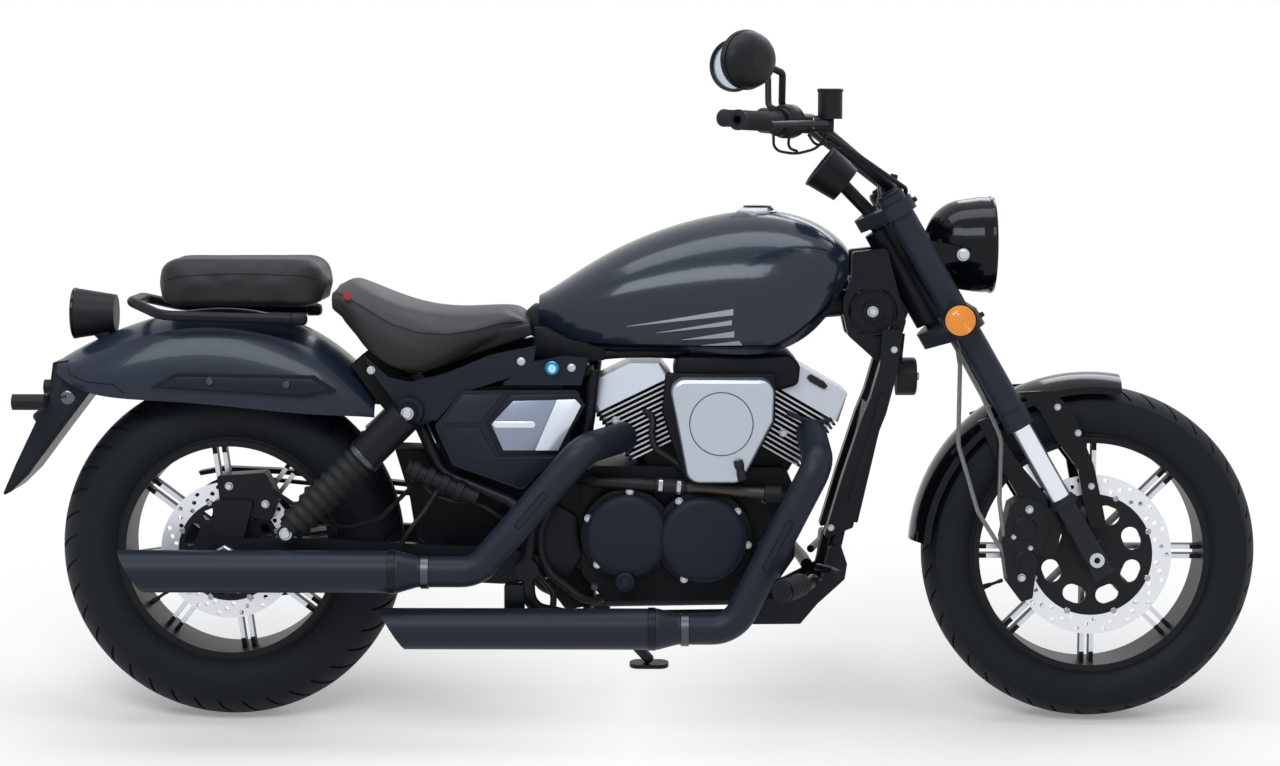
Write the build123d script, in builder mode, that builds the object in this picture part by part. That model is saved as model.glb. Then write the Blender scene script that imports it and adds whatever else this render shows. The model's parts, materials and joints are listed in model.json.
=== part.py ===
from build123d import *
import math
import os

# Cruiser motorcycle, parked on its side stand. It is drawn upright in the vehicle's own frame, with X forward,
# Y to the rider's left, Z up, the floor at Z 0 and the middle of the wheelbase at X 0. The last section leans
# the whole machine over onto its stand and puts the origin under the middle of its bounding box.

os.makedirs("parts", exist_ok=True)

# ---- driving dimensions, in millimetres and degrees ----
WHEELBASE = 1535
FRONT_TYRE_DIA, FRONT_TYRE_WIDTH = 598, 120
REAR_TYRE_DIA, REAR_TYRE_WIDTH = 612, 150
CROWN_RADIUS = 78
RAKE = 30
FORK_OFFSET = 40
FORK_SPREAD = 97
STEERING_LIMIT = 36
LEAN = 9
STAND_FOLD = 110

FRONT_AXLE = (WHEELBASE / 2, FRONT_TYRE_DIA / 2)
REAR_AXLE = (-WHEELBASE / 2, REAR_TYRE_DIA / 2)
AXLE_RADIUS = 8
AXLE_BORE = 5.5
BEARING_GAP = 0.1

# Directions in the side view: up along the fork legs, and square to them towards the front.
UP_FORK = Vector(-math.sin(math.radians(RAKE)), 0, math.cos(math.radians(RAKE)))
AHEAD = Vector(math.cos(math.radians(RAKE)), 0, math.sin(math.radians(RAKE)))
SIDEWAYS = Vector(0, 1, 0)


def fork_point(along, ahead=0, side=0):
    """A point by its distance up the fork from the front axle, its distance ahead of the legs, and its side."""
    axle = Vector(FRONT_AXLE[0], 0, FRONT_AXLE[1])
    return axle + UP_FORK * along + AHEAD * ahead + SIDEWAYS * side


def fork_plane(along, ahead=0, side=0):
    """A plane square to the fork legs, with its x ahead and its y to the left."""
    return Plane(origin=fork_point(along, ahead, side), x_dir=AHEAD, z_dir=UP_FORK)


def side_plane(y):
    """The side view at a distance y from the middle, with x forward, y up and the normal to the right."""
    return Plane(origin=(0, y, 0), x_dir=(1, 0, 0), z_dir=(0, -1, 0))


def cross_plane(x):
    """A cross-section of the vehicle at x, with its x to the left and its y up."""
    return Plane(origin=(x, 0, 0), x_dir=(0, 1, 0), z_dir=(1, 0, 0))


def bent_bar(points, bends, radius, bore=0):
    """A round bar or tube along straight runs joined by arcs, one bend radius for each inner point."""
    with BuildPart() as bar:
        with BuildLine() as route:
            if len(points) > 2:
                FilletPolyline(*points, radius=bends)
            else:
                Line(*points)
        start = Plane(origin=route.line @ 0, z_dir=route.line % 0)
        with BuildSketch(start):
            Circle(radius)
            if bore:
                Circle(bore, mode=Mode.SUBTRACT)
        sweep(path=route.line)
    return bar.part


def round_bar(start, end, radius, bore=0):
    """A straight round bar or tube between two points."""
    return bent_bar([start, end], None, radius, bore)


def side_plate(points, y_low, y_high, corner=0):
    """A flat plate cut to a side-view outline, between two distances from the middle."""
    with BuildPart() as plate:
        with BuildSketch(side_plane(y_low)) as outline:
            with BuildLine():
                Polyline(*points, close=True)
            make_face()
            if corner:
                fillet(outline.vertices(), corner)
        extrude(amount=-(y_high - y_low))
    return plate.part


def side_disc(x, z, radius, y_low, y_high, bore=0):
    """A disc or ring lying in the side view."""
    with BuildPart() as disc:
        with BuildSketch(Plane(origin=(x, y_low, z), x_dir=(1, 0, 0), z_dir=(0, -1, 0))):
            Circle(radius)
            if bore:
                Circle(bore, mode=Mode.SUBTRACT)
        extrude(amount=-(y_high - y_low))
    return disc.part


finished = []


def keep(name, piece):
    """Set a finished piece aside under its name, until the vehicle is leant onto its stand."""
    finished.append((name, piece))


# ---- wheels ----
# Each wheel: axle place, tyre radius, half widths of tyre and of its bead, bead seat and well radii, half
# width and radius of the hub, spoke pairs' first angle, and the angles round the crown where its bands meet.
# The tyres stand in for inflated ones as full rings.
WHEELS = {
    "front": dict(axle=FRONT_AXLE, tyre=FRONT_TYRE_DIA / 2, half=FRONT_TYRE_WIDTH / 2, rim_half=47,
                  seat=211, well=200, hub_half=48, hub=42, first=0, crown=(LEAN, 43.8)),
    "rear": dict(axle=REAR_AXLE, tyre=REAR_TYRE_DIA / 2, half=REAR_TYRE_WIDTH / 2, rim_half=60,
                 seat=196, well=185, hub_half=62, hub=52, first=8, crown=(LEAN, 36, 62.2)),
}
SPOKE_PAIRS = 8
SPOKE_WIDTH = 8
SPOKE_GAP = 17
SPOKE_DEPTH = 26
LIP_WIDTH = 6

for end, w in WHEELS.items():
    ax, az = w["axle"]
    section = Plane(origin=(ax, 0, az), x_dir=(0, 1, 0), z_dir=(1, 0, 0))
    turning = Axis((ax, 0, az), (0, 1, 0))
    half, rim_half, seat, well = w["half"], w["rim_half"], w["seat"], w["well"]

    right_half = [(CROWN_RADIUS * math.sin(math.radians(turn)),
                   w["tyre"] - CROWN_RADIUS * (1 - math.cos(math.radians(turn)))) for turn in w["crown"]]
    right_half += [(half, (seat + right_half[-1][1]) / 2), (rim_half, seat)]
    with BuildPart() as tyre:
        with BuildSketch(section):
            with BuildLine():
                Polyline(*right_half, *[(-u, v) for u, v in right_half[::-1]], close=True)
            make_face()
        revolve(axis=turning)
    keep(end + "_tyre", tyre.part)

    with BuildPart() as rim:
        with BuildSketch(section):
            with BuildLine():
                Polyline((-rim_half - LIP_WIDTH, seat), (rim_half + LIP_WIDTH, seat),
                         (rim_half + LIP_WIDTH, well), (-rim_half - LIP_WIDTH, well), close=True)
            make_face()
        revolve(axis=turning)
        hub_face = Plane(origin=(ax, w["hub_half"], az), x_dir=(1, 0, 0), z_dir=(0, -1, 0))
        with BuildSketch(hub_face):
            Circle(w["hub"])
        extrude(amount=2 * w["hub_half"])
        spoke_face = Plane(origin=(ax, SPOKE_DEPTH / 2, az), x_dir=(1, 0, 0), z_dir=(0, -1, 0))
        spoke_start, spoke_end = w["hub"] - 8, well + 3
        with BuildSketch(spoke_face):
            with PolarLocations(0, SPOKE_PAIRS, start_angle=w["first"]):
                with Locations(((spoke_start + spoke_end) / 2, SPOKE_GAP / 2),
                               ((spoke_start + spoke_end) / 2, -SPOKE_GAP / 2)):
                    Rectangle(spoke_end - spoke_start, SPOKE_WIDTH)
        extrude(amount=SPOKE_DEPTH)
        with BuildSketch(hub_face):
            Circle(AXLE_RADIUS + BEARING_GAP)
        extrude(amount=2 * w["hub_half"], mode=Mode.SUBTRACT)
    keep(end + "_rim", rim.part)

# Brake discs, on the right-hand faces of the hubs: a drilled ring on a slotted carrier.
DISC_SLOTS = 8
DISC_THICK = 5
HOLE_RADIUS, HOLE_ROWS, HOLES_ROUND = 4, (8, 17, 26), 18
for end, outer, carrier in (("front", 143, 111), ("rear", 122, 92)):
    w = WHEELS[end]
    ax, az = w["axle"]
    with BuildPart() as disc:
        with BuildSketch(Plane(origin=(ax, -w["hub_half"], az), x_dir=(1, 0, 0), z_dir=(0, -1, 0))):
            Circle(outer)
            Circle(AXLE_RADIUS + 8, mode=Mode.SUBTRACT)
            with PolarLocations((carrier + w["hub"]) / 2, DISC_SLOTS, start_angle=22.5):
                SlotOverall(42, 0.45 * (carrier - w["hub"]), rotation=90, mode=Mode.SUBTRACT)
            for row, inset in enumerate(HOLE_ROWS):
                with PolarLocations(outer - inset, HOLES_ROUND, start_angle=row * 120 / HOLES_ROUND):
                    Circle(HOLE_RADIUS, mode=Mode.SUBTRACT)
        extrude(amount=DISC_THICK)
    keep(end + "_disc", disc.part)


# ---- front fork, which steers ----
LEG_RADIUS = 24
STANCHION_RADIUS = 18.5
STEM_RADIUS = 14
SHROUD_END, SLIDER_TOP, SLIDER_FOOT, LEG_TOP = 270, 109, -33, 738
LOWER_YOKE, UPPER_YOKE = (462, 492), (700, 724)
HEADSTOCK = (502, 690)
SIDES = (-1, 1)

# The handlebar's tube, from its right end to its left end, which its clamps and controls are cut to fit.
BAR_RADIUS, BAR_BORE = 11, 7
BAR_MIDDLE, BAR_RISE, BAR_END = (405, 60, 950), (262, 185, 1064), (120, 400, 1072)
BAR_BENDS = [45, 30, 30, 45]
bar_route = [(x, -y, z) for x, y, z in (BAR_END, BAR_RISE, BAR_MIDDLE)] + [BAR_MIDDLE, BAR_RISE, BAR_END]
bar_solid = bent_bar(bar_route, BAR_BENDS, BAR_RADIUS)

# Upper and lower yokes: a clamp round each leg joined to a boss on the steering stem, and the bar's two risers.
RISER_Y = 30
with BuildPart() as yokes:
    for (low, high), wall in ((LOWER_YOKE, 11), (UPPER_YOKE, 8)):
        with BuildSketch(fork_plane(low)):
            with Locations((0, -FORK_SPREAD), (0, FORK_SPREAD), (-FORK_OFFSET, 0)):
                Circle(LEG_RADIUS + wall)
            make_hull()
        extrude(amount=high - low)
    with BuildSketch(fork_plane(LOWER_YOKE[0], -FORK_OFFSET)):
        Circle(STEM_RADIUS)
    extrude(amount=UPPER_YOKE[1] + 8 - LOWER_YOKE[0])
    for side in SIDES:
        foot = fork_point(UPPER_YOKE[1] - 8, -14, side * RISER_Y)
        add(round_bar(foot, Vector(BAR_MIDDLE[0], side * RISER_Y, BAR_MIDDLE[2]), 15))
        add(side_disc(BAR_MIDDLE[0], BAR_MIDDLE[2], 19, side * RISER_Y - 12, side * RISER_Y + 12))
    add(bar_solid, mode=Mode.SUBTRACT)
    for side in SIDES:
        with BuildSketch(fork_plane(SHROUD_END, 0, side * FORK_SPREAD)):
            Circle(LEG_RADIUS)
        extrude(amount=LEG_TOP + 20 - SHROUD_END, mode=Mode.SUBTRACT)
# Outer tubes with a collar at the mouth, in one piece with the yokes.
with BuildPart() as fork_upper:
    add(yokes.part)
    for side in SIDES:
        with BuildSketch(fork_plane(SHROUD_END, 0, side * FORK_SPREAD)):
            Circle(LEG_RADIUS)
        extrude(amount=LEG_TOP - SHROUD_END)
        with BuildSketch(fork_plane(SHROUD_END, 0, side * FORK_SPREAD)):
            Circle(LEG_RADIUS + 2)
        extrude(amount=34)
keep("fork_upper", fork_upper.part)

# Polished inner tubes, and the forged legs that hold the axle.
with BuildPart() as stanchions:
    for side in SIDES:
        with BuildSketch(fork_plane(SLIDER_TOP, 0, side * FORK_SPREAD)):
            Circle(STANCHION_RADIUS)
        extrude(amount=SHROUD_END - SLIDER_TOP)
keep("fork_stanchions", stanchions.part)

with BuildPart() as fork_legs:
    for side in SIDES:
        with BuildSketch(fork_plane(SLIDER_FOOT, 0, side * FORK_SPREAD)) as leg_foot:
            Rectangle(36, 40)
            fillet(leg_foot.vertices(), 9)
        extrude(amount=SLIDER_TOP - SLIDER_FOOT)
    with BuildSketch(side_plane(130)):
        with Locations(FRONT_AXLE):
            Circle(AXLE_RADIUS)
    extrude(amount=260, mode=Mode.SUBTRACT)
keep("fork_legs", fork_legs.part)

with BuildPart() as front_axle:
    ax, az = FRONT_AXLE
    leg_in, leg_out = FORK_SPREAD - 20, FORK_SPREAD + 20
    add(side_disc(ax, az, AXLE_RADIUS, -leg_out, leg_out))
    for low, high in ((-leg_out - 7, -leg_out), (leg_out, leg_out + 7), (-leg_in, -54), (54, leg_in)):
        add(side_disc(ax, az, AXLE_RADIUS + 5, low, high))
    add(side_disc(ax, az, AXLE_BORE, -leg_out - 7, leg_out + 7), mode=Mode.SUBTRACT)
keep("front_axle", front_axle.part)

# Front fender: a crowned strip carried round the wheel, on a forked stay each side.
FENDER_RADIUS, FENDER_HALF, FENDER_DROP, FENDER_WALL = 323, 70, 21, 4
FENDER_FROM, FENDER_SWEEP = 81, 95
with BuildPart() as front_fender:
    lead = math.radians(FENDER_FROM)
    outward = Vector(math.cos(lead), 0, math.sin(lead))
    with BuildSketch(Plane(origin=(FRONT_AXLE[0], 0, FRONT_AXLE[1]), x_dir=(0, 1, 0),
                           z_dir=Vector(0, 1, 0).cross(outward))):
        r_side, r_top, wall = FENDER_RADIUS - FENDER_DROP, FENDER_RADIUS, FENDER_WALL
        with BuildLine():
            ThreePointArc((-FENDER_HALF, r_side), (0, r_top), (FENDER_HALF, r_side))
            Polyline((FENDER_HALF, r_side), (FENDER_HALF, r_side - 12), (FENDER_HALF - wall, r_side - 12),
                     (FENDER_HALF - wall, r_side - wall))
            ThreePointArc((FENDER_HALF - wall, r_side - wall), (0, r_top - wall),
                          (wall - FENDER_HALF, r_side - wall))
            Polyline((wall - FENDER_HALF, r_side - wall), (wall - FENDER_HALF, r_side - 12),
                     (-FENDER_HALF, r_side - 12), (-FENDER_HALF, r_side))
        make_face()
    revolve(axis=Axis((FRONT_AXLE[0], 0, FRONT_AXLE[1]), (0, -1, 0)), revolution_arc=FENDER_SWEEP)
STAY_FRONT = [(630, 592), (690, 595), (728, 560), (742, 520), (766, 462), (778, 410), (792, 345),
              (762, 352), (748, 400), (738, 455), (700, 505), (668, 560)]
STAY_REAR = [(560, 540), (582, 548), (630, 470), (690, 400), (700, 350), (672, 345), (645, 385), (600, 460)]
with BuildPart() as fender_and_stays:
    add(front_fender.part)
    for side in SIDES:
        low, high = sorted((side * (FENDER_HALF - 1), side * (FORK_SPREAD - 20)))
        for outline in (STAY_FRONT, STAY_REAR):
            add(side_plate(outline, low, high))
    for side in SIDES:
        with BuildSketch(fork_plane(SHROUD_END, 0, side * FORK_SPREAD)):
            Circle(LEG_RADIUS + 2)
        extrude(amount=100, mode=Mode.SUBTRACT)
        with BuildSketch(fork_plane(SLIDER_TOP, 0, side * FORK_SPREAD)):
            Circle(STANCHION_RADIUS + 2)
        extrude(amount=SHROUD_END - SLIDER_TOP, mode=Mode.SUBTRACT)
keep("front_fender", fender_and_stays.part)

# Brake calliper: a bridge over the disc's edge, on a lug that reaches the right leg.
CALIPER = [(604, 330), (618, 392), (645, 408), (672, 396), (688, 350), (668, 300), (660, 225), (640, 218),
           (616, 250)]
CALIPER_LUG = [(640, 405), (690, 398), (712, 350), (700, 300), (668, 300)]
with BuildPart() as front_caliper:
    add(side_plate(CALIPER, -84, -22, 5))
    add(side_plate(CALIPER_LUG, 20 - FORK_SPREAD, -60))
    add(side_disc(FRONT_AXLE[0], FRONT_AXLE[1], 148, -57, -44), mode=Mode.SUBTRACT)
    add(fender_and_stays.part, mode=Mode.SUBTRACT)
keep("front_caliper", front_caliper.part)

# Headlamp: a deep hollow bowl, its glass on a lip, and the pair of ears that hold it to the legs.
LAMP_CENTRE = (583, 849)
LAMP_BOSS, LAMP_EAR = (528, 836), [(455, 812), (522, 825), (522, 851), (440, 866)]
with BuildPart() as headlamp:
    with BuildSketch(Plane(origin=(LAMP_CENTRE[0], 0, LAMP_CENTRE[1]), x_dir=(1, 0, 0), z_dir=(0, -1, 0))):
        with BuildLine():
            Polyline((-108, 0), (-112, 0), (-112, 26))
            ThreePointArc((-112, 26), (-91, 61), (-52, 80))
            Polyline((-52, 80), (-16, 85), (0, 85), (0, 74), (-4, 74), (-4, 81), (-52, 76))
            ThreePointArc((-52, 76), (-88, 58), (-108, 24))
            Line((-108, 24), (-108, 0))
        make_face()
    revolve(axis=Axis((0, 0, LAMP_CENTRE[1]), (1, 0, 0)))
LENS_RADIUS, LENS_EDGE, LENS_DOME = 79, 3, 13
lens_rise = LENS_DOME - LENS_EDGE
lens_curve = (LENS_RADIUS**2 + lens_rise**2) / (2 * lens_rise)
with BuildPart() as headlamp_lens:
    with BuildSketch(Plane(origin=(LAMP_CENTRE[0], 0, LAMP_CENTRE[1]), x_dir=(1, 0, 0), z_dir=(0, -1, 0))):
        with BuildLine():
            Polyline((0, 0), (0, LENS_RADIUS), (LENS_EDGE, LENS_RADIUS))
            RadiusArc((LENS_EDGE, LENS_RADIUS), (LENS_DOME, 0), lens_curve)
            Line((LENS_DOME, 0), (0, 0))
        make_face()
    revolve(axis=Axis((0, 0, LAMP_CENTRE[1]), (1, 0, 0)))
keep("headlamp_lens", headlamp_lens.part)

with BuildPart() as headlamp_body:
    add(headlamp.part)
    for side in SIDES:
        low, high = sorted((side * 74, side * 96))
        add(side_disc(*LAMP_BOSS, 13, low, high))
        low, high = sorted((side * 86, side * 96))
        add(side_plate(LAMP_EAR, low, high))
    for side in SIDES:
        with BuildSketch(fork_plane(500, 0, side * FORK_SPREAD)):
            Circle(LEG_RADIUS)
        extrude(amount=230, mode=Mode.SUBTRACT)
keep("headlamp", headlamp_body.part)

# Round front indicators on short stalks from the legs.
INDICATOR = (517, 725)
with BuildPart() as front_indicators:
    for side in SIDES:
        low, high = sorted((side * 138, side * 164))
        add(side_disc(INDICATOR[0], INDICATOR[1], 29, low, high))
        low, high = sorted((side * (FORK_SPREAD + 20), side * 140))
        add(side_disc(INDICATOR[0], INDICATOR[1], 9, low, high))
    for side in SIDES:
        with BuildSketch(fork_plane(LOWER_YOKE[0] - 60, 0, side * FORK_SPREAD)):
            Circle(LEG_RADIUS)
        extrude(amount=200, mode=Mode.SUBTRACT)
    add(yokes.part, mode=Mode.SUBTRACT)
keep("front_indicators", front_indicators.part)

# Handlebar on two risers, with grips, switch housings, levers, brake reservoir and mirrors.
def bar_point(along, side, ahead=0, above=0):
    """A point along the straight end of the handlebar, from 0 at its bend to 1 at its end."""
    x, y, z = (a + (b - a) * along for a, b in zip(BAR_RISE, BAR_END))
    return (x + ahead, side * y, z + above)


with BuildPart() as handlebar:
    add(bent_bar(bar_route, BAR_BENDS, BAR_RADIUS, BAR_BORE))
keep("handlebar", handlebar.part)

with BuildPart() as grips:
    for side in SIDES:
        add(round_bar(bar_point(0.50, side), bar_point(1.0, side), 17, BAR_RADIUS))
keep("grips", grips.part)

with BuildPart() as hand_controls:
    for side in SIDES:
        add(round_bar(bar_point(0.28, side), bar_point(0.49, side), 24))
        add(round_bar(bar_point(0.07, side), bar_point(0.28, side), 17))
        add(bent_bar([bar_point(0.16, side, 12, 0), bar_point(0.2, side, 52, 0), bar_point(0.98, side, 52, -8)],
                     [18], 6))
    add(round_bar(bar_point(0.12, -1, 40, 8), bar_point(0.12, -1, 40, 54), 21))
    add(round_bar(bar_point(0.12, -1, 12), bar_point(0.12, -1, 46), 14))
    add(bar_solid, mode=Mode.SUBTRACT)
keep("hand_controls", hand_controls.part)

MIRROR_TILT = 42
# Depth behind the glass, half width and half height of each section of the domed shell.
MIRROR_RINGS = [(0, 60, 48), (12, 58, 46), (24, 46, 36), (32, 22, 17)]
MIRROR_CENTRE = (138, 335, 1171)
with BuildPart() as mirrors:
    for side in SIDES:
        cx, cy, cz = MIRROR_CENTRE
        turn = math.radians(MIRROR_TILT)
        facing = Vector(-math.cos(turn), -side * math.sin(turn), 0)
        with BuildPart(mode=Mode.PRIVATE) as shell:
            for depth, half_wide, half_high in MIRROR_RINGS:
                face_centre = Vector(cx, side * cy, cz) - facing * depth
                with BuildSketch(Plane(origin=face_centre, x_dir=facing.cross(Vector(0, 0, 1)), z_dir=facing)):
                    Ellipse(half_wide, half_high)
            loft()
        add(shell.part)
        stem = [bar_point(0.2, side, 0, 14), (200, side * 262, 1094), (200, side * 282, 1150),
                (cx + 10, side * (cy + 9), cz)]
        add(bent_bar(stem, [18, 12], 6))
    add(hand_controls.part, mode=Mode.SUBTRACT)
    add(bar_solid, mode=Mode.SUBTRACT)
keep("mirrors", mirrors.part)

GAUGE_FACE, GAUGE_LEAN, GAUGE_RADIUS, GAUGE_DEPTH = Vector(286, 0, 987), 38, 42, 52
with BuildPart() as gauge:
    back = Vector(math.cos(math.radians(GAUGE_LEAN)), 0, -math.sin(math.radians(GAUGE_LEAN)))
    with BuildSketch(Plane(origin=GAUGE_FACE, x_dir=(0, 1, 0), z_dir=back)):
        Circle(GAUGE_RADIUS)
    extrude(amount=GAUGE_DEPTH, taper=8)
    add(round_bar(GAUGE_FACE + back * 30, fork_point(UPPER_YOKE[1], -FORK_OFFSET), 12))
    add(yokes.part, mode=Mode.SUBTRACT)
keep("gauge", gauge.part)


# ---- engine ----
CRANK = (88, 300)
CASE_HALF = 98
CASE = [(-141, 440), (-120, 462), (218, 459), (236, 420), (236, 300), (190, 232), (156, 222), (-100, 222),
        (-141, 270)]
OUTPUT = (-150, 316)
BELT_LOW, BELT_HIGH, BELT_THICK = 80, 97, 6
REAR_PULLEY, FRONT_PULLEY = 108, 38
GEARBOX = [(-100, 262), (-186, 290), (-202, 330), (-200, 412), (-158, 452), (-100, 456)]
GEARBOX_LEFT = 62
with BuildPart() as engine_case:
    add(side_plate(CASE, -CASE_HALF, CASE_HALF, 14))
    add(side_plate(GEARBOX, -CASE_HALF + 12, GEARBOX_LEFT, 8))
    add(side_disc(OUTPUT[0], OUTPUT[1], FRONT_PULLEY + 22, BELT_LOW - 8, CASE_HALF), mode=Mode.SUBTRACT)
    add(side_disc(OUTPUT[0], OUTPUT[1], FRONT_PULLEY, BELT_LOW - 20, BELT_HIGH + 1))
keep("engine_case", engine_case.part)

# Side covers of the crankcase: x, z, radius and outer face of each round cover, right (-1) and left (+1).
ENGINE_COVERS = [(-61, 343, 72, 138, -1), (74, 337, 75, 146, -1),
                 (-50, 330, 66, 132, 1), (90, 322, 88, 146, 1)]
with BuildPart() as engine_covers:
    for x, z, radius, face, side in ENGINE_COVERS:
        low, high = sorted((side * CASE_HALF, side * face))
        add(side_disc(x, z, radius, low, high))
    add(side_disc(-64, 263, 17, -148, -CASE_HALF))
    fillet(engine_covers.faces().filter_by(Axis.Y).sort_by(Axis.Y)[0].edges(), 4)
keep("engine_covers", engine_covers.part)

# Finned cylinders: lean of the bore, distance of the first fin from the crank, half length and width of a fin.
CYLINDERS = {"rear": 26, "front": -30}
FIN_COUNT, FIN_PITCH, FIN_THICK = 12, 8.6, 2.8
FIN_FROM, FIN_HALF, FIN_SIDE = 215, 76, 84


def bore_plane(lean, along):
    """A plane square to a cylinder's bore, with its x forward and its y to the left."""
    turn = math.radians(lean)
    up = Vector(-math.sin(turn), 0, math.cos(turn))
    forward = Vector(math.cos(turn), 0, math.sin(turn))
    return Plane(origin=Vector(CRANK[0], 0, CRANK[1]) + up * along, x_dir=forward, z_dir=up)


with BuildPart() as cylinders:
    for lean in CYLINDERS.values():
        with BuildSketch(bore_plane(lean, 178)) as barrel:
            Rectangle(92, 120)
            fillet(barrel.vertices(), 20)
        extrude(amount=FIN_FROM + FIN_COUNT * FIN_PITCH - 178)
        for n in range(FIN_COUNT):
            with BuildSketch(bore_plane(lean, FIN_FROM + n * FIN_PITCH)) as fin:
                Rectangle(2 * FIN_HALF - (FIN_COUNT - n) * 3, 2 * FIN_SIDE)
                fillet(fin.vertices(), 14)
            extrude(amount=FIN_THICK)
    add(engine_case.part, mode=Mode.SUBTRACT)
keep("cylinders", cylinders.part)

# Polished rocker covers on the cylinder heads, cut off level under the tank.
COVER_AT = FIN_FROM + FIN_COUNT * FIN_PITCH
with BuildPart() as rocker_covers:
    for lean in CYLINDERS.values():
        with BuildSketch(bore_plane(lean, COVER_AT)) as cover:
            Rectangle(2 * FIN_HALF - 2, 2 * FIN_SIDE + 6)
            fillet(cover.vertices(), 12)
        extrude(amount=52, taper=12)
    with BuildSketch(Plane.XY.offset(642)):
        Rectangle(900, 400)
    extrude(amount=200, mode=Mode.SUBTRACT)
keep("rocker_covers", rocker_covers.part)

# Air cleaner on the right, with the intake trunk that leads from it into the V.
CLEANER = [(11, 622), (195, 622), (193, 548), (138, 441), (46, 441)]
CLEANER_CORNER = 24
CLEANER_FACE, CLEANER_BACK = 178, 112
with BuildPart() as air_cleaner:
    add(side_plate(CLEANER, -CLEANER_FACE, -CLEANER_BACK, CLEANER_CORNER))
    fillet(air_cleaner.faces().sort_by(Axis.Y)[0].edges(), 8)
    with BuildSketch(side_plane(-CLEANER_FACE + 2)):
        with Locations((103, 545)):
            Circle(56)
            Circle(54, mode=Mode.SUBTRACT)
    extrude(amount=10, mode=Mode.SUBTRACT)
keep("air_cleaner", air_cleaner.part)

with BuildPart() as intake:
    add(side_disc(103, 560, 30, -CLEANER_BACK, -20))
    with BuildSketch(Plane.XY.offset(505)):
        with Locations((100, 0)):
            Rectangle(64, 70)
    extrude(amount=110)
    add(cylinders.part, mode=Mode.SUBTRACT)
    add(rocker_covers.part, mode=Mode.SUBTRACT)
PIPE_Y = -124
with BuildPart() as coolant_pipe:
    add(bent_bar([(-150, -90, 440), (-118, PIPE_Y, 438), (30, PIPE_Y, 428), (196, PIPE_Y, 416),
                  (236, -88, 410)], [20, 60, 30], 11))
    add(engine_case.part, mode=Mode.SUBTRACT)
    add(intake.part)
keep("intake_pipes", coolant_pipe.part)

# ---- exhausts: a header and a slash-cut silencer for each cylinder, both on the right ----
PIPE_RADIUS = 27
EXHAUST_Y = -190
REAR_PIPE = [(-66, -85, 512), (-136, EXHAUST_Y, 502), (-322, EXHAUST_Y, 287),
             (-424, EXHAUST_Y, 287)]
FRONT_PIPE = [(264, -85, 520), (272, EXHAUST_Y, 478), (124, EXHAUST_Y, 187), (28, EXHAUST_Y, 187)]
# The slot along the outside of each header: its upper and lower ends in the side view.
SHIELD_SLOTS = [((-204, 424), (-248, 373)), ((220, 376), (180, 298))]
SLOT_WIDTH, SLOT_DEPTH = 13, 3
with BuildPart() as exhaust_headers:
    for route in (REAR_PIPE, FRONT_PIPE):
        add(bent_bar(route, [40, 60], PIPE_RADIUS))
    add(cylinders.part, mode=Mode.SUBTRACT)
    add(engine_case.part, mode=Mode.SUBTRACT)
    for (high_x, high_z), (low_x, low_z) in SHIELD_SLOTS:
        with BuildSketch(side_plane(EXHAUST_Y - PIPE_RADIUS + SLOT_DEPTH)):
            SlotCenterPoint(((high_x + low_x) / 2, (high_z + low_z) / 2), (high_x, high_z), SLOT_WIDTH)
        extrude(amount=SLOT_DEPTH + 2, mode=Mode.SUBTRACT)
keep("exhaust_headers", exhaust_headers.part)

# Silencers: front end x, centre z, radius, x of the lower and upper edge of the slash cut.
SILENCERS = [(-424, 287, 37, -900, -946), (28, 187, 36, -446, -492)]
with BuildPart() as silencers:
    for front, z, radius, cut_low, cut_high in SILENCERS:
        neck = Plane(origin=(front, EXHAUST_Y, z), x_dir=(0, 1, 0), z_dir=(-1, 0, 0))
        with BuildSketch(neck):
            Circle(PIPE_RADIUS)
        with BuildSketch(neck.offset(34)):
            Circle(radius)
        loft()
        with BuildSketch(neck.offset(34)):
            Circle(radius)
        extrude(amount=front - 34 - cut_high + 30)
        with BuildSketch(neck.offset(front - cut_high - 210)):
            Circle(radius - 3)
        extrude(amount=260, mode=Mode.SUBTRACT)
        with BuildSketch(side_plane(EXHAUST_Y + 60)):
            with BuildLine():
                Polyline((cut_low, z - radius), (cut_high, z + radius), (cut_high - 80, z + radius + 5),
                         (cut_high - 80, z - radius - 5), (cut_low, z - radius - 5), close=True)
            make_face()
        extrude(amount=120, mode=Mode.SUBTRACT)
keep("silencers", silencers.part)

# ---- frame ----
HEAD_BOTTOM, HEAD_TOP = HEADSTOCK
HEAD_LUG = [(334, 705), (334, 790), (388, 838), (400, 800), (440, 730), (428, 700)]
BACKBONE = ((360, 0, 748), (-190, 0, 702))
with BuildPart() as headstock:
    with BuildSketch(fork_plane(HEAD_BOTTOM, -FORK_OFFSET)):
        Circle(29)
    extrude(amount=HEAD_TOP - HEAD_BOTTOM)
    add(side_plate(HEAD_LUG, -20, 20))
    add(round_bar(*BACKBONE, 24))
    with BuildSketch(fork_plane(HEAD_BOTTOM, -FORK_OFFSET)):
        Circle(STEM_RADIUS + BEARING_GAP)
    extrude(amount=HEAD_TOP - HEAD_BOTTOM, mode=Mode.SUBTRACT)

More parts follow.
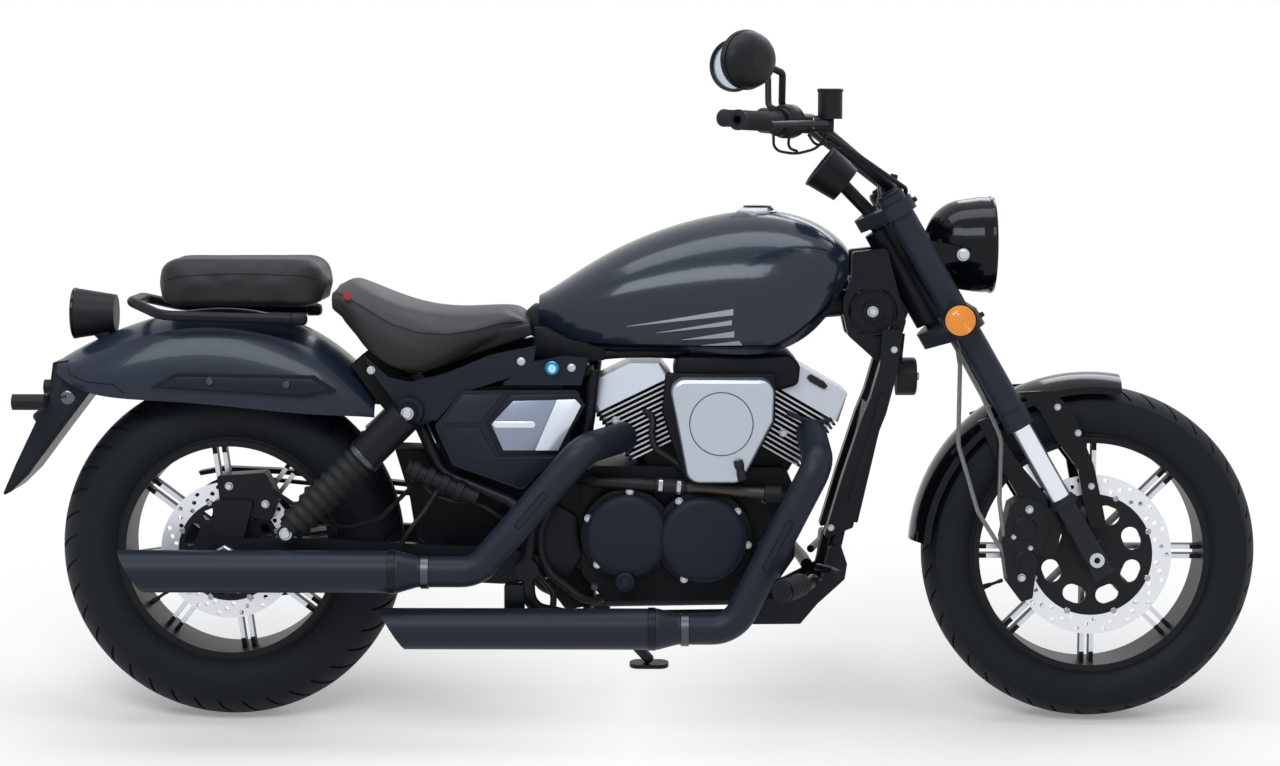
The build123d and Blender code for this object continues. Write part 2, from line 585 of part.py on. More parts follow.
# Boxed down members each side, from the headstock to the cradle, under the covers of the headstock.
SPAR = [(424, 702), (388, 704), (384, 640), (368, 583), (352, 543), (319, 441), (287, 331), (339, 352),
        (368, 482), (396, 555), (415, 628)]
SPAR_PANEL = [(386, 592), (366, 522), (342, 446), (330, 398), (346, 404), (366, 492), (390, 560), (398, 590)]
SPAR_TOP = [(428, 702), (388, 704), (380, 665), (418, 660)]
HEAD_COVER = [(336, 838), (397, 845), (432, 716), (409, 632), (386, 640), (330, 690), (321, 728), (321, 758),
              (336, 790)]
HEAD_RECESS = (373, 733)
RECESS_RADIUS, RECESS_DEPTH = 41, 7
SPAR_IN, SPAR_OUT, HEAD_OUT = 56, 92, 62
with BuildPart() as spars:
    for side in SIDES:
        low, high = sorted((side * SPAR_IN, side * SPAR_OUT))
        add(side_plate(SPAR, low, high, 4))
        low, high = sorted((side * (SPAR_OUT - 4), side * (SPAR_OUT + 4)))
        add(side_plate(SPAR_PANEL, low, high, 3))
        low, high = sorted((side * 20, side * SPAR_IN))
        add(side_plate(SPAR_TOP, low, high))
        low, high = sorted((side * 30, side * HEAD_OUT))
        add(side_plate(HEAD_COVER, low, high, 6))
        low, high = sorted((side * (HEAD_OUT - RECESS_DEPTH), side * (HEAD_OUT + 2)))
        add(side_disc(*HEAD_RECESS, RECESS_RADIUS, low, high), mode=Mode.SUBTRACT)
        add(side_disc(*HEAD_RECESS, 17, low, high))
    add(headstock.part, mode=Mode.SUBTRACT)

# Cradle tubes under the engine and up to the swingarm pivot, and the tubes that show round the side covers.
TUBE = 12
CRADLE_Y = 92
MOUNT_OUT = 124
PIVOT, PIVOT_Y = (-236, 284), 142
SHOCK_MOUNT = [(-475, 600), (-395, 590), (-405, 540), (-442, 534), (-470, 548)]
STAND_PIVOT = Vector(-118, 128, 176)
STAND_LUG = [(-142, 160), (-142, 196), (-96, 196), (-96, 160)]
# The tubes of the left side, each with its bends' radii and its own radius; the right side mirrors them.
CRADLE_TUBES = [
    ([(316, 76, 352), (292, CRADLE_Y, 250), (240, CRADLE_Y, 196), (-150, CRADLE_Y, 190), (-232, PIVOT_Y, 216),
      (-236, PIVOT_Y, 300), (-226, PIVOT_Y, 392), (-134, 100, 508), (-120, 100, 632)],
     [30, 40, 60, 40, 60, 60, 60], TUBE),
    ([(-232, PIVOT_Y, 376), (-268, 130, 404), (-386, 108, 450), (-436, CRADLE_Y, 556)], [30, 50], TUBE - 1),
    ([(-120, 100, 630), (-300, CRADLE_Y, 616), (-440, CRADLE_Y, 568)], [200], TUBE - 1),
]
CROSS_TUBES = [(240, 196), (-130, 190), (-140, 628), (-440, 568)]
with BuildPart() as cradle:
    for side in SIDES:
        wide = side * PIVOT_Y
        for points, bends, radius in CRADLE_TUBES:
            add(bent_bar([(x, side * y, z) for x, y, z in points], bends, radius))
        low, high = sorted((side * (CRADLE_Y - TUBE), side * MOUNT_OUT))
        add(side_plate(SHOCK_MOUNT, low, high, 8))
        add(side_disc(PIVOT[0], PIVOT[1], 20, wide - 13, wide + 13))
    add(side_disc(PIVOT[0], PIVOT[1], 10, -PIVOT_Y, PIVOT_Y))
    for x, z in CROSS_TUBES:
        add(round_bar((x, -CRADLE_Y, z), (x, CRADLE_Y, z), TUBE - 2))
    add(side_plate(STAND_LUG, CRADLE_Y, CRADLE_Y + 16))
    add(spars.part, mode=Mode.SUBTRACT)
    add(engine_case.part, mode=Mode.SUBTRACT)

# ---- swingarm, axle, shocks ----
ARM_IN, ARM_OUT = 106, 128
ARM = [(-270, 318), (-216, 306), (-216, 262), (-280, 256), (-770, 280), (-800, 292), (-800, 320), (-770, 332),
       (-660, 338)]
GUARD = [(-840, 421), (-800, 428), (-700, 424), (-330, 388), (-330, 396), (-700, 433), (-800, 437),
         (-844, 428)]
GUARD_STAY = [(-620, 320), (-590, 320), (-570, 425), (-600, 430)]
ARM_BRIDGE = [(-330, 262), (-330, 312), (-390, 312), (-390, 262)]
with BuildPart() as swingarm:
    for side in SIDES:
        low, high = sorted((side * ARM_IN, side * ARM_OUT))
        add(side_plate(ARM, low, high, 6))
    add(side_plate(ARM_BRIDGE, -ARM_IN, ARM_IN))
    add(side_plate(GUARD, BELT_LOW, ARM_IN + 2))
    add(side_plate(GUARD_STAY, ARM_IN - 2, ARM_IN + 2))
    with BuildSketch(side_plane(150)):
        with Locations(REAR_AXLE):
            Circle(AXLE_RADIUS)
    extrude(amount=300, mode=Mode.SUBTRACT)
    add(cradle.part, mode=Mode.SUBTRACT)

with BuildPart() as rear_axle:
    add(side_disc(REAR_AXLE[0], REAR_AXLE[1], AXLE_RADIUS, -ARM_OUT, ARM_OUT))
    for low, high in ((-ARM_OUT - 10, -ARM_OUT), (ARM_OUT, ARM_OUT + 10), (-ARM_IN, -69), (102, ARM_IN)):
        add(side_disc(REAR_AXLE[0], REAR_AXLE[1], 14, low, high))
    add(side_disc(REAR_AXLE[0], REAR_AXLE[1], AXLE_BORE, -ARM_OUT - 10, ARM_OUT + 10), mode=Mode.SUBTRACT)
keep("rear_axle", rear_axle.part)

SHOCK_LOW, SHOCK_HIGH, SHOCK_Y = Vector(-655, 0, 351), Vector(-442, 0, 562), 156
with BuildPart() as shocks:
    for side in SIDES:
        low = SHOCK_LOW + SIDEWAYS * side * SHOCK_Y
        high = SHOCK_HIGH + SIDEWAYS * side * SHOCK_Y
        run = high - low
        add(round_bar(low + run * 0.03, low + run * 0.64, 25))
        add(round_bar(low + run * 0.62, low + run * 0.97, 31))
        for (x, z), foot in (((SHOCK_LOW.X, SHOCK_LOW.Z), ARM_OUT), ((SHOCK_HIGH.X, SHOCK_HIGH.Z), MOUNT_OUT)):
            inner, outer = sorted((side * foot, side * (SHOCK_Y + 20)))
            add(side_disc(x, z, 15, inner, outer))
    add(cradle.part, mode=Mode.SUBTRACT)
keep("shocks", shocks.part)

# Belt drive on the left: rear pulley on the wheel, toothed belt and front pulley on the chassis.
with BuildPart() as pulley:
    add(side_disc(REAR_AXLE[0], REAR_AXLE[1], REAR_PULLEY, BELT_LOW - 1, BELT_HIGH + 1))
    add(side_disc(REAR_AXLE[0], REAR_AXLE[1], 60, WHEELS["rear"]["hub_half"], BELT_LOW))
    with BuildSketch(side_plane(BELT_HIGH + 1)):
        with Locations(REAR_AXLE):
            with PolarLocations(84, 5):
                Circle(17)
            Circle(20)
    extrude(amount=BELT_HIGH + 1 - WHEELS["rear"]["hub_half"], mode=Mode.SUBTRACT)
keep("rear_pulley", pulley.part)
with BuildPart() as belt:
    with BuildSketch(side_plane(BELT_HIGH)):
        with Locations(REAR_AXLE):
            Circle(REAR_PULLEY + 1 + BELT_THICK)
        with Locations(OUTPUT):
            Circle(FRONT_PULLEY + BELT_THICK)
        make_hull()
    extrude(amount=BELT_HIGH - BELT_LOW)
    with BuildSketch(side_plane(BELT_HIGH)):
        with Locations(REAR_AXLE):
            Circle(REAR_PULLEY + 1)
        with Locations(OUTPUT):
            Circle(FRONT_PULLEY)
        make_hull()
    extrude(amount=BELT_HIGH - BELT_LOW, mode=Mode.SUBTRACT)
keep("drive_belt", belt.part)
REAR_CALIPER = [(-786, 442), (-700, 448), (-676, 402), (-690, 362), (-738, 372), (-780, 392)]
CALIPER_BRACKET = [(-790, 400), (-720, 400), (-740, 325), (-790, 325)]
with BuildPart() as swingarm_and_caliper:
    add(side_plate(REAR_CALIPER, -94, -42, 6))
    add(side_plate(CALIPER_BRACKET, -ARM_IN, -82, 5))
    add(side_disc(REAR_AXLE[0], REAR_AXLE[1], 127, -72, -57), mode=Mode.SUBTRACT)
    add(rear_axle.part, mode=Mode.SUBTRACT)
    add(swingarm.part)
keep("swingarm", swingarm_and_caliper.part)


def shell_loft(stations):
    """A closed form lofted through cross-sections: x, low z, low half width, wide z, wide half width,
    shoulder z, shoulder half width, top z."""
    with BuildPart() as form:
        for x, z_low, w_low, z_wide, w_wide, z_shoulder, w_shoulder, z_top in stations:
            with BuildSketch(cross_plane(x)):
                with BuildLine():
                    Line((-w_low, z_low), (w_low, z_low))
                    ThreePointArc((w_low, z_low), (w_wide, z_wide), (w_shoulder, z_shoulder))
                    ThreePointArc((w_shoulder, z_shoulder), (0, z_top), (-w_shoulder, z_shoulder))
                    ThreePointArc((-w_shoulder, z_shoulder), (-w_wide, z_wide), (-w_low, z_low))
                make_face()
        loft()
    return form.part


# ---- bodywork ----
def round_loft(stations):
    """A closed form through rounded sections: x, low z, low half width, wide z, half width, top z."""
    with BuildPart() as form:
        for x, z_low, w_low, z_wide, w_wide, z_top in stations:
            tuck, drop = w_wide - w_low, z_wide - z_low
            curve = (tuck**2 + drop**2) / (2 * tuck)
            half_turn = math.asin(drop / curve) / 2
            side_u = w_wide - curve * (1 - math.cos(half_turn))
            side_v = z_wide - curve * math.sin(half_turn)
            with BuildSketch(cross_plane(x)):
                with BuildLine():
                    EllipticalCenterArc((0, z_wide), w_wide, z_top - z_wide, arc_size=180)
                    ThreePointArc((-w_wide, z_wide), (-side_u, side_v), (-w_low, z_low))
                    Line((-w_low, z_low), (w_low, z_low))
                    ThreePointArc((w_low, z_low), (side_u, side_v), (w_wide, z_wide))
                make_face()
        loft()
    return form.part


#         x, low z, w, wide z, w, top z
TANK = [(-218, 703, 34, 730, 46, 758),
        (-170, 678, 62, 732, 84, 787),
        (-80, 668, 92, 741, 119, 841),
        (60, 666, 112, 753, 144, 893),
        (200, 668, 118, 769, 152, 908),
        (285, 722, 96, 794, 128, 882),
        (329, 796, 52, 820, 76, 845)]
TANK_TUNNEL = [(-230, 640), (-230, 738), (330, 795), (400, 795), (400, 640)]
with BuildPart() as fuel_tank:
    add(round_loft(TANK))
    add(side_plate(TANK_TUNNEL, -32, 32), mode=Mode.SUBTRACT)
keep("fuel_tank", fuel_tank.part)

CAP_X, CAP_BASE = 170, 902
with BuildPart() as fuel_cap:
    with BuildSketch(Plane.XY.offset(CAP_BASE)):
        with Locations((CAP_X, 0)):
            Circle(33)
    extrude(amount=13, taper=8)
    add(fuel_tank.part, mode=Mode.SUBTRACT)
keep("fuel_cap", fuel_cap.part)

#             x, low z, w, wide z, w, shoulder z, w, top z
RIDER_SEAT = [(-224, 692, 84, 708, 92, 718, 74, 728),
              (-300, 674, 112, 700, 132, 722, 112, 736),
              (-380, 646, 140, 690, 162, 722, 138, 734),
              (-450, 632, 150, 690, 168, 738, 146, 746),
              (-530, 690, 140, 730, 152, 768, 126, 779),
              (-582, 742, 120, 760, 130, 778, 108, 788)]
with BuildPart() as rider_seat:
    add(shell_loft(RIDER_SEAT))
    add(cradle.part, mode=Mode.SUBTRACT)
keep("rider_seat", rider_seat.part)

PILLION_X, PILLION_HALF, PILLION_LOW, PILLION_HIGH = (-892, -592), 122, 744, 822
with BuildPart() as pillion:
    with BuildSketch(Plane.XY.offset(PILLION_LOW)) as pad:
        with BuildLine():
            Polyline((PILLION_X[0], -96), (PILLION_X[1], -PILLION_HALF), (PILLION_X[1], PILLION_HALF),
                     (PILLION_X[0], 96), close=True)
        make_face()
        fillet(pad.vertices(), 46)
    extrude(amount=PILLION_HIGH - PILLION_LOW)
    fillet(pillion.faces().sort_by(Axis.Z)[-1].edges(), 24)
keep("pillion_seat", pillion.part)

GRAB_RAIL = [(-640, 122, 722), (-876, 122, 728), (-938, 62, 748)]
with BuildPart() as grab_rail:
    mirrored = [(x, -y, z) for x, y, z in GRAB_RAIL]
    add(bent_bar(GRAB_RAIL + mirrored[::-1], [50, 30, 30, 50], 9))
#           x, low z, w, wide z, w, shoulder z, w, top z
FENDER = [(-1070, 622, 70, 632, 68, 640, 48, 644),
          (-985, 585, 108, 630, 104, 664, 80, 688),
          (-880, 577, 118, 640, 114, 696, 88, 722),
          (-740, 566, 120, 640, 116, 700, 90, 730),
          (-610, 554, 118, 620, 116, 664, 88, 686),
          (-505, 548, 112, 560, 110, 572, 84, 584)]
SKIN = 4
FENDER_INSIDE = [(x, z0 - 1, w0 - SKIN, z1, w1 - SKIN, z2 - SKIN, w2 - SKIN, z3 - SKIN)
                 for x, z0, w0, z1, w1, z2, w2, z3 in FENDER]
fender_solid = shell_loft(FENDER)
with BuildPart() as rear_fender:
    add(fender_solid)
    add(shell_loft(FENDER_INSIDE), mode=Mode.SUBTRACT)
keep("rear_fender", rear_fender.part)

FENDER_RAIL = [(-896, 602), (-849, 627), (-610, 623), (-571, 597), (-624, 583)]
PLATE_HOLDER = [(-1078, 640), (-1050, 644), (-1010, 590), (-1070, 512), (-1124, 440), (-1156, 409),
                (-1173, 400), (-1147, 458), (-1086, 584)]
with BuildPart() as fender_rails:
    add(grab_rail.part)
    for side in SIDES:
        low, high = sorted((side * 112, side * 128))
        add(side_plate(FENDER_RAIL, low, high))
    add(fender_solid, mode=Mode.SUBTRACT)
with BuildPart() as tail_brackets:
    add(fender_rails.part)
    add(side_plate(PLATE_HOLDER, -62, 62, 3))
    add(fender_solid, mode=Mode.SUBTRACT)
keep("tail_brackets", tail_brackets.part)

TAIL_FACE, TAIL_RADIUS, TAIL_DEPTH = (-1047, 0, 723), 45, 72
TAIL_STEM = ((-1010, 0, 700), (-985, 0, 676))
with BuildPart() as tail_lamp:
    with BuildSketch(Plane(origin=TAIL_FACE, x_dir=(0, 1, 0), z_dir=(1, 0, 0))):
        Circle(TAIL_RADIUS)
    extrude(amount=TAIL_DEPTH, taper=9)
    add(round_bar(*TAIL_STEM, 16))
    add(fender_solid, mode=Mode.SUBTRACT)

with BuildPart() as tail_lights:
    add(tail_lamp.part)
    for side in SIDES:
        add(round_bar((-1134, side * 140, 577), (-1078, side * 140, 577), 14))
        add(round_bar((-1092, side * 62, 577), (-1092, side * 132, 577), 8))
keep("tail_lights", tail_lights.part)

BATTERY_BOX = [(-385, 530), (-345, 600), (-175, 610), (-165, 516), (-244, 446), (-352, 480)]
with BuildPart() as battery_box:
    add(side_plate(BATTERY_BOX, -108, 108))
    add(cradle.part, mode=Mode.SUBTRACT)
SIDE_COVER = [(-397, 537), (-348, 599), (-141, 600), (-163, 506), (-244, 424), (-366, 468)]
SEAT_PLATE = [(-522, 662), (-508, 632), (-444, 548), (-394, 546), (-351, 594), (-227, 634), (-220, 676),
              (-300, 660), (-380, 627), (-440, 613), (-478, 622)]
KEY_PANEL = [(-277, 608), (-277, 613), (-223, 648), (-171, 658), (-129, 654), (-141, 608)]
PANEL_IN, PANEL_OUT = 104, 136
with BuildPart() as side_panels:
    for side in SIDES:
        low, high = sorted((side * PANEL_IN, side * PANEL_OUT))
        add(side_plate(KEY_PANEL, low, high))
        low, high = sorted((side * (PANEL_IN + 8), side * PANEL_OUT))
        add(side_plate(SEAT_PLATE, low, high))
        add(side_disc(SHOCK_HIGH.X, SHOCK_HIGH.Z, 16, low, high), mode=Mode.SUBTRACT)
    add(cradle.part, mode=Mode.SUBTRACT)
with BuildPart() as side_covers:
    add(battery_box.part)
    add(side_panels.part)
    for side in SIDES:
        low, high = sorted((side * 108, side * 142))
        add(side_plate(SIDE_COVER, low, high, 10))
keep("side_covers", side_covers.part)

BELLY = [(160, 182), (246, 183), (276, 219), (324, 263), (328, 290), (316, 326), (296, 320), (284, 262),
         (226, 232), (190, 222), (160, 218)]
BELLY_NOSE = [(240, 182), (246, 183), (276, 219), (324, 263), (318, 268), (270, 224)]
with BuildPart() as belly_guard:
    for side in SIDES:
        low, high = sorted((side * (CRADLE_Y + 10), side * (CRADLE_Y + 20)))
        add(side_plate(BELLY, low, high, 4))
    add(side_plate(BELLY_NOSE, -CRADLE_Y - 10, CRADLE_Y + 10))
    add(cradle.part, mode=Mode.SUBTRACT)

HORN, HORN_RADIUS, HORN_DEPTH = (420, 0, 613), 34, 31
RADIATOR = [(318, 360), (350, 356), (396, 560), (364, 568)]
with BuildPart() as horn:
    with BuildSketch(Plane(origin=HORN, x_dir=(0, 1, 0), z_dir=(1, 0, 0))):
        Circle(HORN_RADIUS)
    extrude(amount=HORN_DEPTH)
    add(round_bar((425, 0, 640), (430, 0, 690), 6))
    add(headstock.part, mode=Mode.SUBTRACT)
    add(spars.part, mode=Mode.SUBTRACT)

with BuildPart() as radiator:
    add(horn.part)
    add(side_plate(RADIATOR, -SPAR_IN, SPAR_IN))
keep("radiator", radiator.part)

# The peg's arm, the peg and the pedal of the left side, each with its bend's radius and its own radius.
FOOT_BARS = [([(268, CRADLE_Y, 258), (262, 150, 264), (248, 232, 272)], [60], 11),
             ([(240, 226, 272), (202, 332, 276)], None, 17),
             ([(276, CRADLE_Y + 18, 284), (300, 190, 290), (306, 262, 296)], [20], 7)]
with BuildPart() as foot_controls:
    for side in SIDES:
        for points, bends, radius in FOOT_BARS:
            add(bent_bar([(x, side * y, z) for x, y, z in points], bends, radius))
    add(cradle.part, mode=Mode.SUBTRACT)
    add(belly_guard.part, mode=Mode.SUBTRACT)
keep("foot_controls", foot_controls.part)

# ---- side stand ----
STAND_FOOT_X, STAND_FOOT_Y = -20, 248
tilt = math.radians(LEAN)
lift = CROWN_RADIUS * (1 - math.cos(tilt))


def floor_height(y):
    """Height of the floor in the upright vehicle's own frame, once the machine leans on its stand."""
    return (y * math.sin(tilt) - lift) / math.cos(tilt)


foot_centre = Vector(STAND_FOOT_X, STAND_FOOT_Y, floor_height(STAND_FOOT_Y))
floor_up = Vector(0, -math.sin(tilt), math.cos(tilt))
down_leg = (foot_centre - STAND_PIVOT).normalized()
stowed = Vector(-0.965, 0.02, -0.12).normalized()
across = (down_leg - stowed).normalized()
stand_axis = (SIDEWAYS - across * SIDEWAYS.dot(across)).normalized()
with BuildPart() as side_stand:
    add(round_bar(STAND_PIVOT - stand_axis * 12, STAND_PIVOT + stand_axis * 12, 16))
    add(round_bar(STAND_PIVOT, foot_centre + floor_up * 14, 10))
    with BuildSketch(Plane(origin=foot_centre, x_dir=(1, 0, 0), z_dir=floor_up)):
        SlotOverall(74, 34)
    extrude(amount=8)
    add(round_bar(STAND_PIVOT - stand_axis * 30, STAND_PIVOT + stand_axis * 30, 6), mode=Mode.SUBTRACT)
keep("side_stand", side_stand.part)

# ---- hoses and cables, each made along its whole route ----
HOSE_RADIUS = 4
BRAKE_HOSE_REAR = [(519, -60, 692), (526, -84, 640), (524, -88, 500), (560, -88, 380), (612, -78, 300)]
BRAKE_HOSE_FRONT = [(540, -60, 704), (520, -84, 668), (566, -88, 585), (600, -88, 510), (598, -88, 400),
                    (610, -78, 320)]
with BuildPart() as front_hoses:
    add(bent_bar(BRAKE_HOSE_REAR, [20, 60, 60], HOSE_RADIUS))
    add(bent_bar(BRAKE_HOSE_FRONT, [14, 20, 60, 60], HOSE_RADIUS))
    add(front_caliper.part, mode=Mode.SUBTRACT)
    add(fork_upper.part, mode=Mode.SUBTRACT)
keep("front_hoses", front_hoses.part)

# From the switch housings along the bar to the upper yoke.
BAR_CABLE = [(262, 211, 1058), (298, 185, 1036), (432, 80, 948), (411, 64, 924)]
with BuildPart() as control_cables:
    for side in SIDES:
        add(bent_bar([(x, side * y, z) for x, y, z in BAR_CABLE], [60, 15], HOSE_RADIUS))
    add(hand_controls.part, mode=Mode.SUBTRACT)
    add(fork_upper.part, mode=Mode.SUBTRACT)
keep("control_cables", control_cables.part)

REAR_HOSE = [(-694, -88, 420), (-636, -104, 384), (-560, -116, 352), (-500, -116, 366), (-446, -112, 420),
             (-392, -106, 448)]
with BuildPart() as rear_hose:
    add(bent_bar(REAR_HOSE, [60, 60, 60, 40], HOSE_RADIUS))
    add(swingarm_and_caliper.part, mode=Mode.SUBTRACT)
    add(cradle.part, mode=Mode.SUBTRACT)
keep("rear_hose", rear_hose.part)

with BuildPart() as frame:
    add(headstock.part)
    add(spars.part)
    add(cradle.part)
    add(belly_guard.part)
    add(round_bar(STAND_PIVOT - stand_axis * 30, STAND_PIVOT - stand_axis * 13, 17))
    add(round_bar(STAND_PIVOT - stand_axis * 26, STAND_PIVOT + stand_axis * 20, 6 - BEARING_GAP))
    add(round_bar(STAND_PIVOT + stand_axis * 16, STAND_PIVOT + stand_axis * 22, 10))
keep("frame", frame.part)


# ---- last: lean the machine over onto its stand ----
leant = Location((0, 0, lift), (-LEAN, 0, 0))
box = Compound([piece.moved(leant) for name, piece in finished]).bounding_box()
parking = Location((-box.center().X, -box.center().Y, lift), (-LEAN, 0, 0))
for name, piece in finished:
    parked = piece.moved(parking)
    parked.label = name
    export_step(parked, f"parts/{name}.step")
print("box", box.size, "lowest", round(box.min.Z, 4), "pieces", len(finished))
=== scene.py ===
import bmesh
import bpy
import json
import math
from mathutils import Matrix, Vector

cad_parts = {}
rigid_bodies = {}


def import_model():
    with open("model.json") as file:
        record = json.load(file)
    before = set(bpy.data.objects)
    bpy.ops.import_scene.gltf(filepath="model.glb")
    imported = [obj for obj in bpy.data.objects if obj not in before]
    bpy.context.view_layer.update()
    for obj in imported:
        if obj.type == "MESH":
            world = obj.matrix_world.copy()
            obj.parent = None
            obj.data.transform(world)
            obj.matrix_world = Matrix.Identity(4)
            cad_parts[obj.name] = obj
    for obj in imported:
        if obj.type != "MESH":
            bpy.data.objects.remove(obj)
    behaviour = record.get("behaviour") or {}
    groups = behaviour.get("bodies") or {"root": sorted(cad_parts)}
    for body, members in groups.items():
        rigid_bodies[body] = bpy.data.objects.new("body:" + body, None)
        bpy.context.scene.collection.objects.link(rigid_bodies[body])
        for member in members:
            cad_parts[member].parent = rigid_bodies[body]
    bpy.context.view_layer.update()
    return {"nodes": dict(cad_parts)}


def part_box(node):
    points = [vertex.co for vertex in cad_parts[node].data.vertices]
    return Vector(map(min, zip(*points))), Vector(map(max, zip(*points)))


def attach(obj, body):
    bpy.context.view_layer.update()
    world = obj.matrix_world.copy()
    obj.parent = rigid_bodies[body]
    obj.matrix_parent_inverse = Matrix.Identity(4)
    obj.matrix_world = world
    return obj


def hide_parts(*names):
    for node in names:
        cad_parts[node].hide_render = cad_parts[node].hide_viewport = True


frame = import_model()
bpy.ops.object.select_all(action="DESELECT")

# ---- studio ----
# A white floor in a white surround, which the metal and the glass mirror. The floor's glow fades out toward
# the two tyres' feet, a painted shade that darkens it there besides their real shadow. The camera is to the
# right of the machine, a little above its tank, square to its side.
FLOOR_SIZE, FLOOR_DROP = 60.0, 0.0005
FLOOR_COLOUR = (0.98, 0.90, 0.81, 1)
TYRE_FEET = ((0.7675, -0.03, 0), (-0.7675, -0.03, 0))
SHADE_REACH, FOOT_GLOW = 1.05, 0.20
SURROUND_LIGHT, SURROUND_TINT = 0.40, (0.72, 0.84, 1.0, 1)
WHITE = (1, 1, 1, 1)


def node(tree, kind, operation=None):
    """Add a shader node to a tree, set to one of its operations where it has them."""
    made = tree.nodes.new("ShaderNode" + kind)
    if operation:
        made.operation = operation
    return made


def blend_of_colours(tree, first, second):
    """Add a node that goes from one colour to another."""
    made = node(tree, "Mix")
    made.data_type = "RGBA"
    made.inputs["A"].default_value = first
    made.inputs["B"].default_value = second
    return made


def join(tree, *pairs):
    """Link each pair of an output and an input."""
    for source, target in pairs:
        tree.links.new(source, target)


bpy.ops.mesh.primitive_plane_add(size=FLOOR_SIZE, location=(0, 0, -FLOOR_DROP))
floor = bpy.context.object
floor.name = "studio_floor"
floor_paint = bpy.data.materials.new("studio_floor")
floor_paint.use_nodes = True
floor_tree = floor_paint.node_tree
floor_shader = floor_tree.nodes["Principled BSDF"]
floor_shader.inputs["Base Color"].default_value = FLOOR_COLOUR
floor_shader.inputs["Roughness"].default_value = 0.95
floor_shader.inputs["Specular IOR Level"].default_value = 0.0
floor_glow = node(floor_tree, "Emission")
floor_mix = node(floor_tree, "MixShader")
floor_place = node(floor_tree, "TexCoord")
floor_nearer = node(floor_tree, "Math", "MINIMUM")
for n, foot in enumerate(TYRE_FEET):
    from_foot = node(floor_tree, "VectorMath", "DISTANCE")
    from_foot.inputs[1].default_value = foot
    join(floor_tree, (floor_place.outputs["Object"], from_foot.inputs[0]),
         (from_foot.outputs["Value"], floor_nearer.inputs[n]))
# The glow fades out toward the nearer tyre's foot: painted shade round each tyre, on top of the real shadow.
painted_floor_shade = node(floor_tree, "MapRange")
painted_floor_shade.interpolation_type = "SMOOTHSTEP"
painted_floor_shade.inputs["From Max"].default_value = SHADE_REACH
painted_floor_shade.inputs["To Min"].default_value = FOOT_GLOW
join(floor_tree, (floor_nearer.outputs["Value"], painted_floor_shade.inputs["Value"]),
     (painted_floor_shade.outputs["Result"], floor_mix.inputs["Fac"]), (floor_shader.outputs["BSDF"], floor_mix.inputs[1]),
     (floor_glow.outputs["Emission"], floor_mix.inputs[2]),
     (floor_mix.outputs["Shader"], floor_tree.nodes["Material Output"].inputs["Surface"]))
floor.data.materials.append(floor_paint)

world = bpy.data.worlds.new("studio_surround")
bpy.context.scene.world = world
world.use_nodes = True
surround = world.node_tree.nodes["Background"]
rays = node(world.node_tree, "LightPath")
seen_straight = node(world.node_tree, "Math", "MAXIMUM")
seen = node(world.node_tree, "Math", "MAXIMUM")
level = node(world.node_tree, "MapRange")
level.inputs["To Min"].default_value = SURROUND_LIGHT
level.inputs["To Max"].default_value = 1.0
cool = blend_of_colours(world.node_tree, SURROUND_TINT, WHITE)
join(world.node_tree, (rays.outputs["Is Camera Ray"], seen_straight.inputs[0]),
     (rays.outputs["Is Transmission Ray"], seen_straight.inputs[1]), (seen_straight.outputs[0], seen.inputs[0]),
     (rays.outputs["Is Glossy Ray"], seen.inputs[1]), (seen.outputs[0], level.inputs["Value"]),
     (level.outputs["Result"], surround.inputs["Strength"]), (seen.outputs[0], cool.inputs["Factor"]),
     (cool.outputs["Result"], surround.inputs["Color"]))

LAMP_COLOUR = (0.84, 0.91, 1.0)
# Lamp, place, turn in degrees, width, height, power in watts.
LAMPS = [
    ("key", (-1.2, -3.2, 4.2), (40, 0, -18), 3.4, 1.6, 125),
    ("top", (0.0, 0.3, 4.6), (0, 0, 0), 4.5, 1.8, 110),
    ("rear", (1.8, 3.8, 2.8), (-58, 0, -24), 3.0, 1.6, 60),
]
for lamp_name, place, turn, width, height, power in LAMPS:
    bpy.ops.object.light_add(type="AREA", location=place, rotation=[math.radians(a) for a in turn])
    lamp = bpy.context.object
    lamp.name = "lamp_" + lamp_name
    lamp.data.shape = "RECTANGLE"
    lamp.data.size = width
    lamp.data.size_y = height
    lamp.data.energy = power
    lamp.data.color = LAMP_COLOUR

CAMERA_PLACE = (0.0129, -5.1803, 1.9056)
CAMERA_TURN = (math.radians(75.661), math.radians(-0.126), math.radians(0.023))
LENS_LENGTH, SENSOR_WIDTH = 83.117, 36
bpy.ops.object.camera_add(location=CAMERA_PLACE, rotation=CAMERA_TURN)
camera = bpy.context.object
camera.data.lens = LENS_LENGTH
camera.data.sensor_width = SENSOR_WIDTH
bpy.context.scene.camera = camera
bpy.context.scene.view_settings.view_transform = "Standard"

# ---- tyres ----
# Black rubber on both wheels, moulded with a row of slanting grooves each side of a plain middle band, and
# with two fine rings round each wall.
LEAN = math.radians(9)
FRONT_AXLE, REAR_AXLE = Vector((0.7675, 0, 0.299)), Vector((-0.7675, 0, 0.306))
wheel_low, wheel_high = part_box("front_rim")
wheel_middle = (Vector(wheel_low) + Vector(wheel_high)) / 2
ONTO_STAND = Matrix.Translation(wheel_middle) @ Matrix.Rotation(-LEAN, 4, "X") @ Matrix.Translation(-FRONT_AXLE)
ACROSS = ONTO_STAND.to_3x3() @ Vector((0, 1, 0))


def effect_group(name, inputs, outputs):
    """A group for an effect that several finishes share, with its input values and its outputs by name."""
    group = bpy.data.node_groups.new(name, "ShaderNodeTree")
    for socket_name, value in inputs.items():
        kind = "NodeSocketFloat" if isinstance(value, float) else "NodeSocketVector"
        group.interface.new_socket(socket_name, in_out="INPUT", socket_type=kind).default_value = value
    for socket_name in outputs:
        group.interface.new_socket(socket_name, in_out="OUTPUT", socket_type="NodeSocketFloat")
    return group, group.nodes.new("NodeGroupInput"), group.nodes.new("NodeGroupOutput")


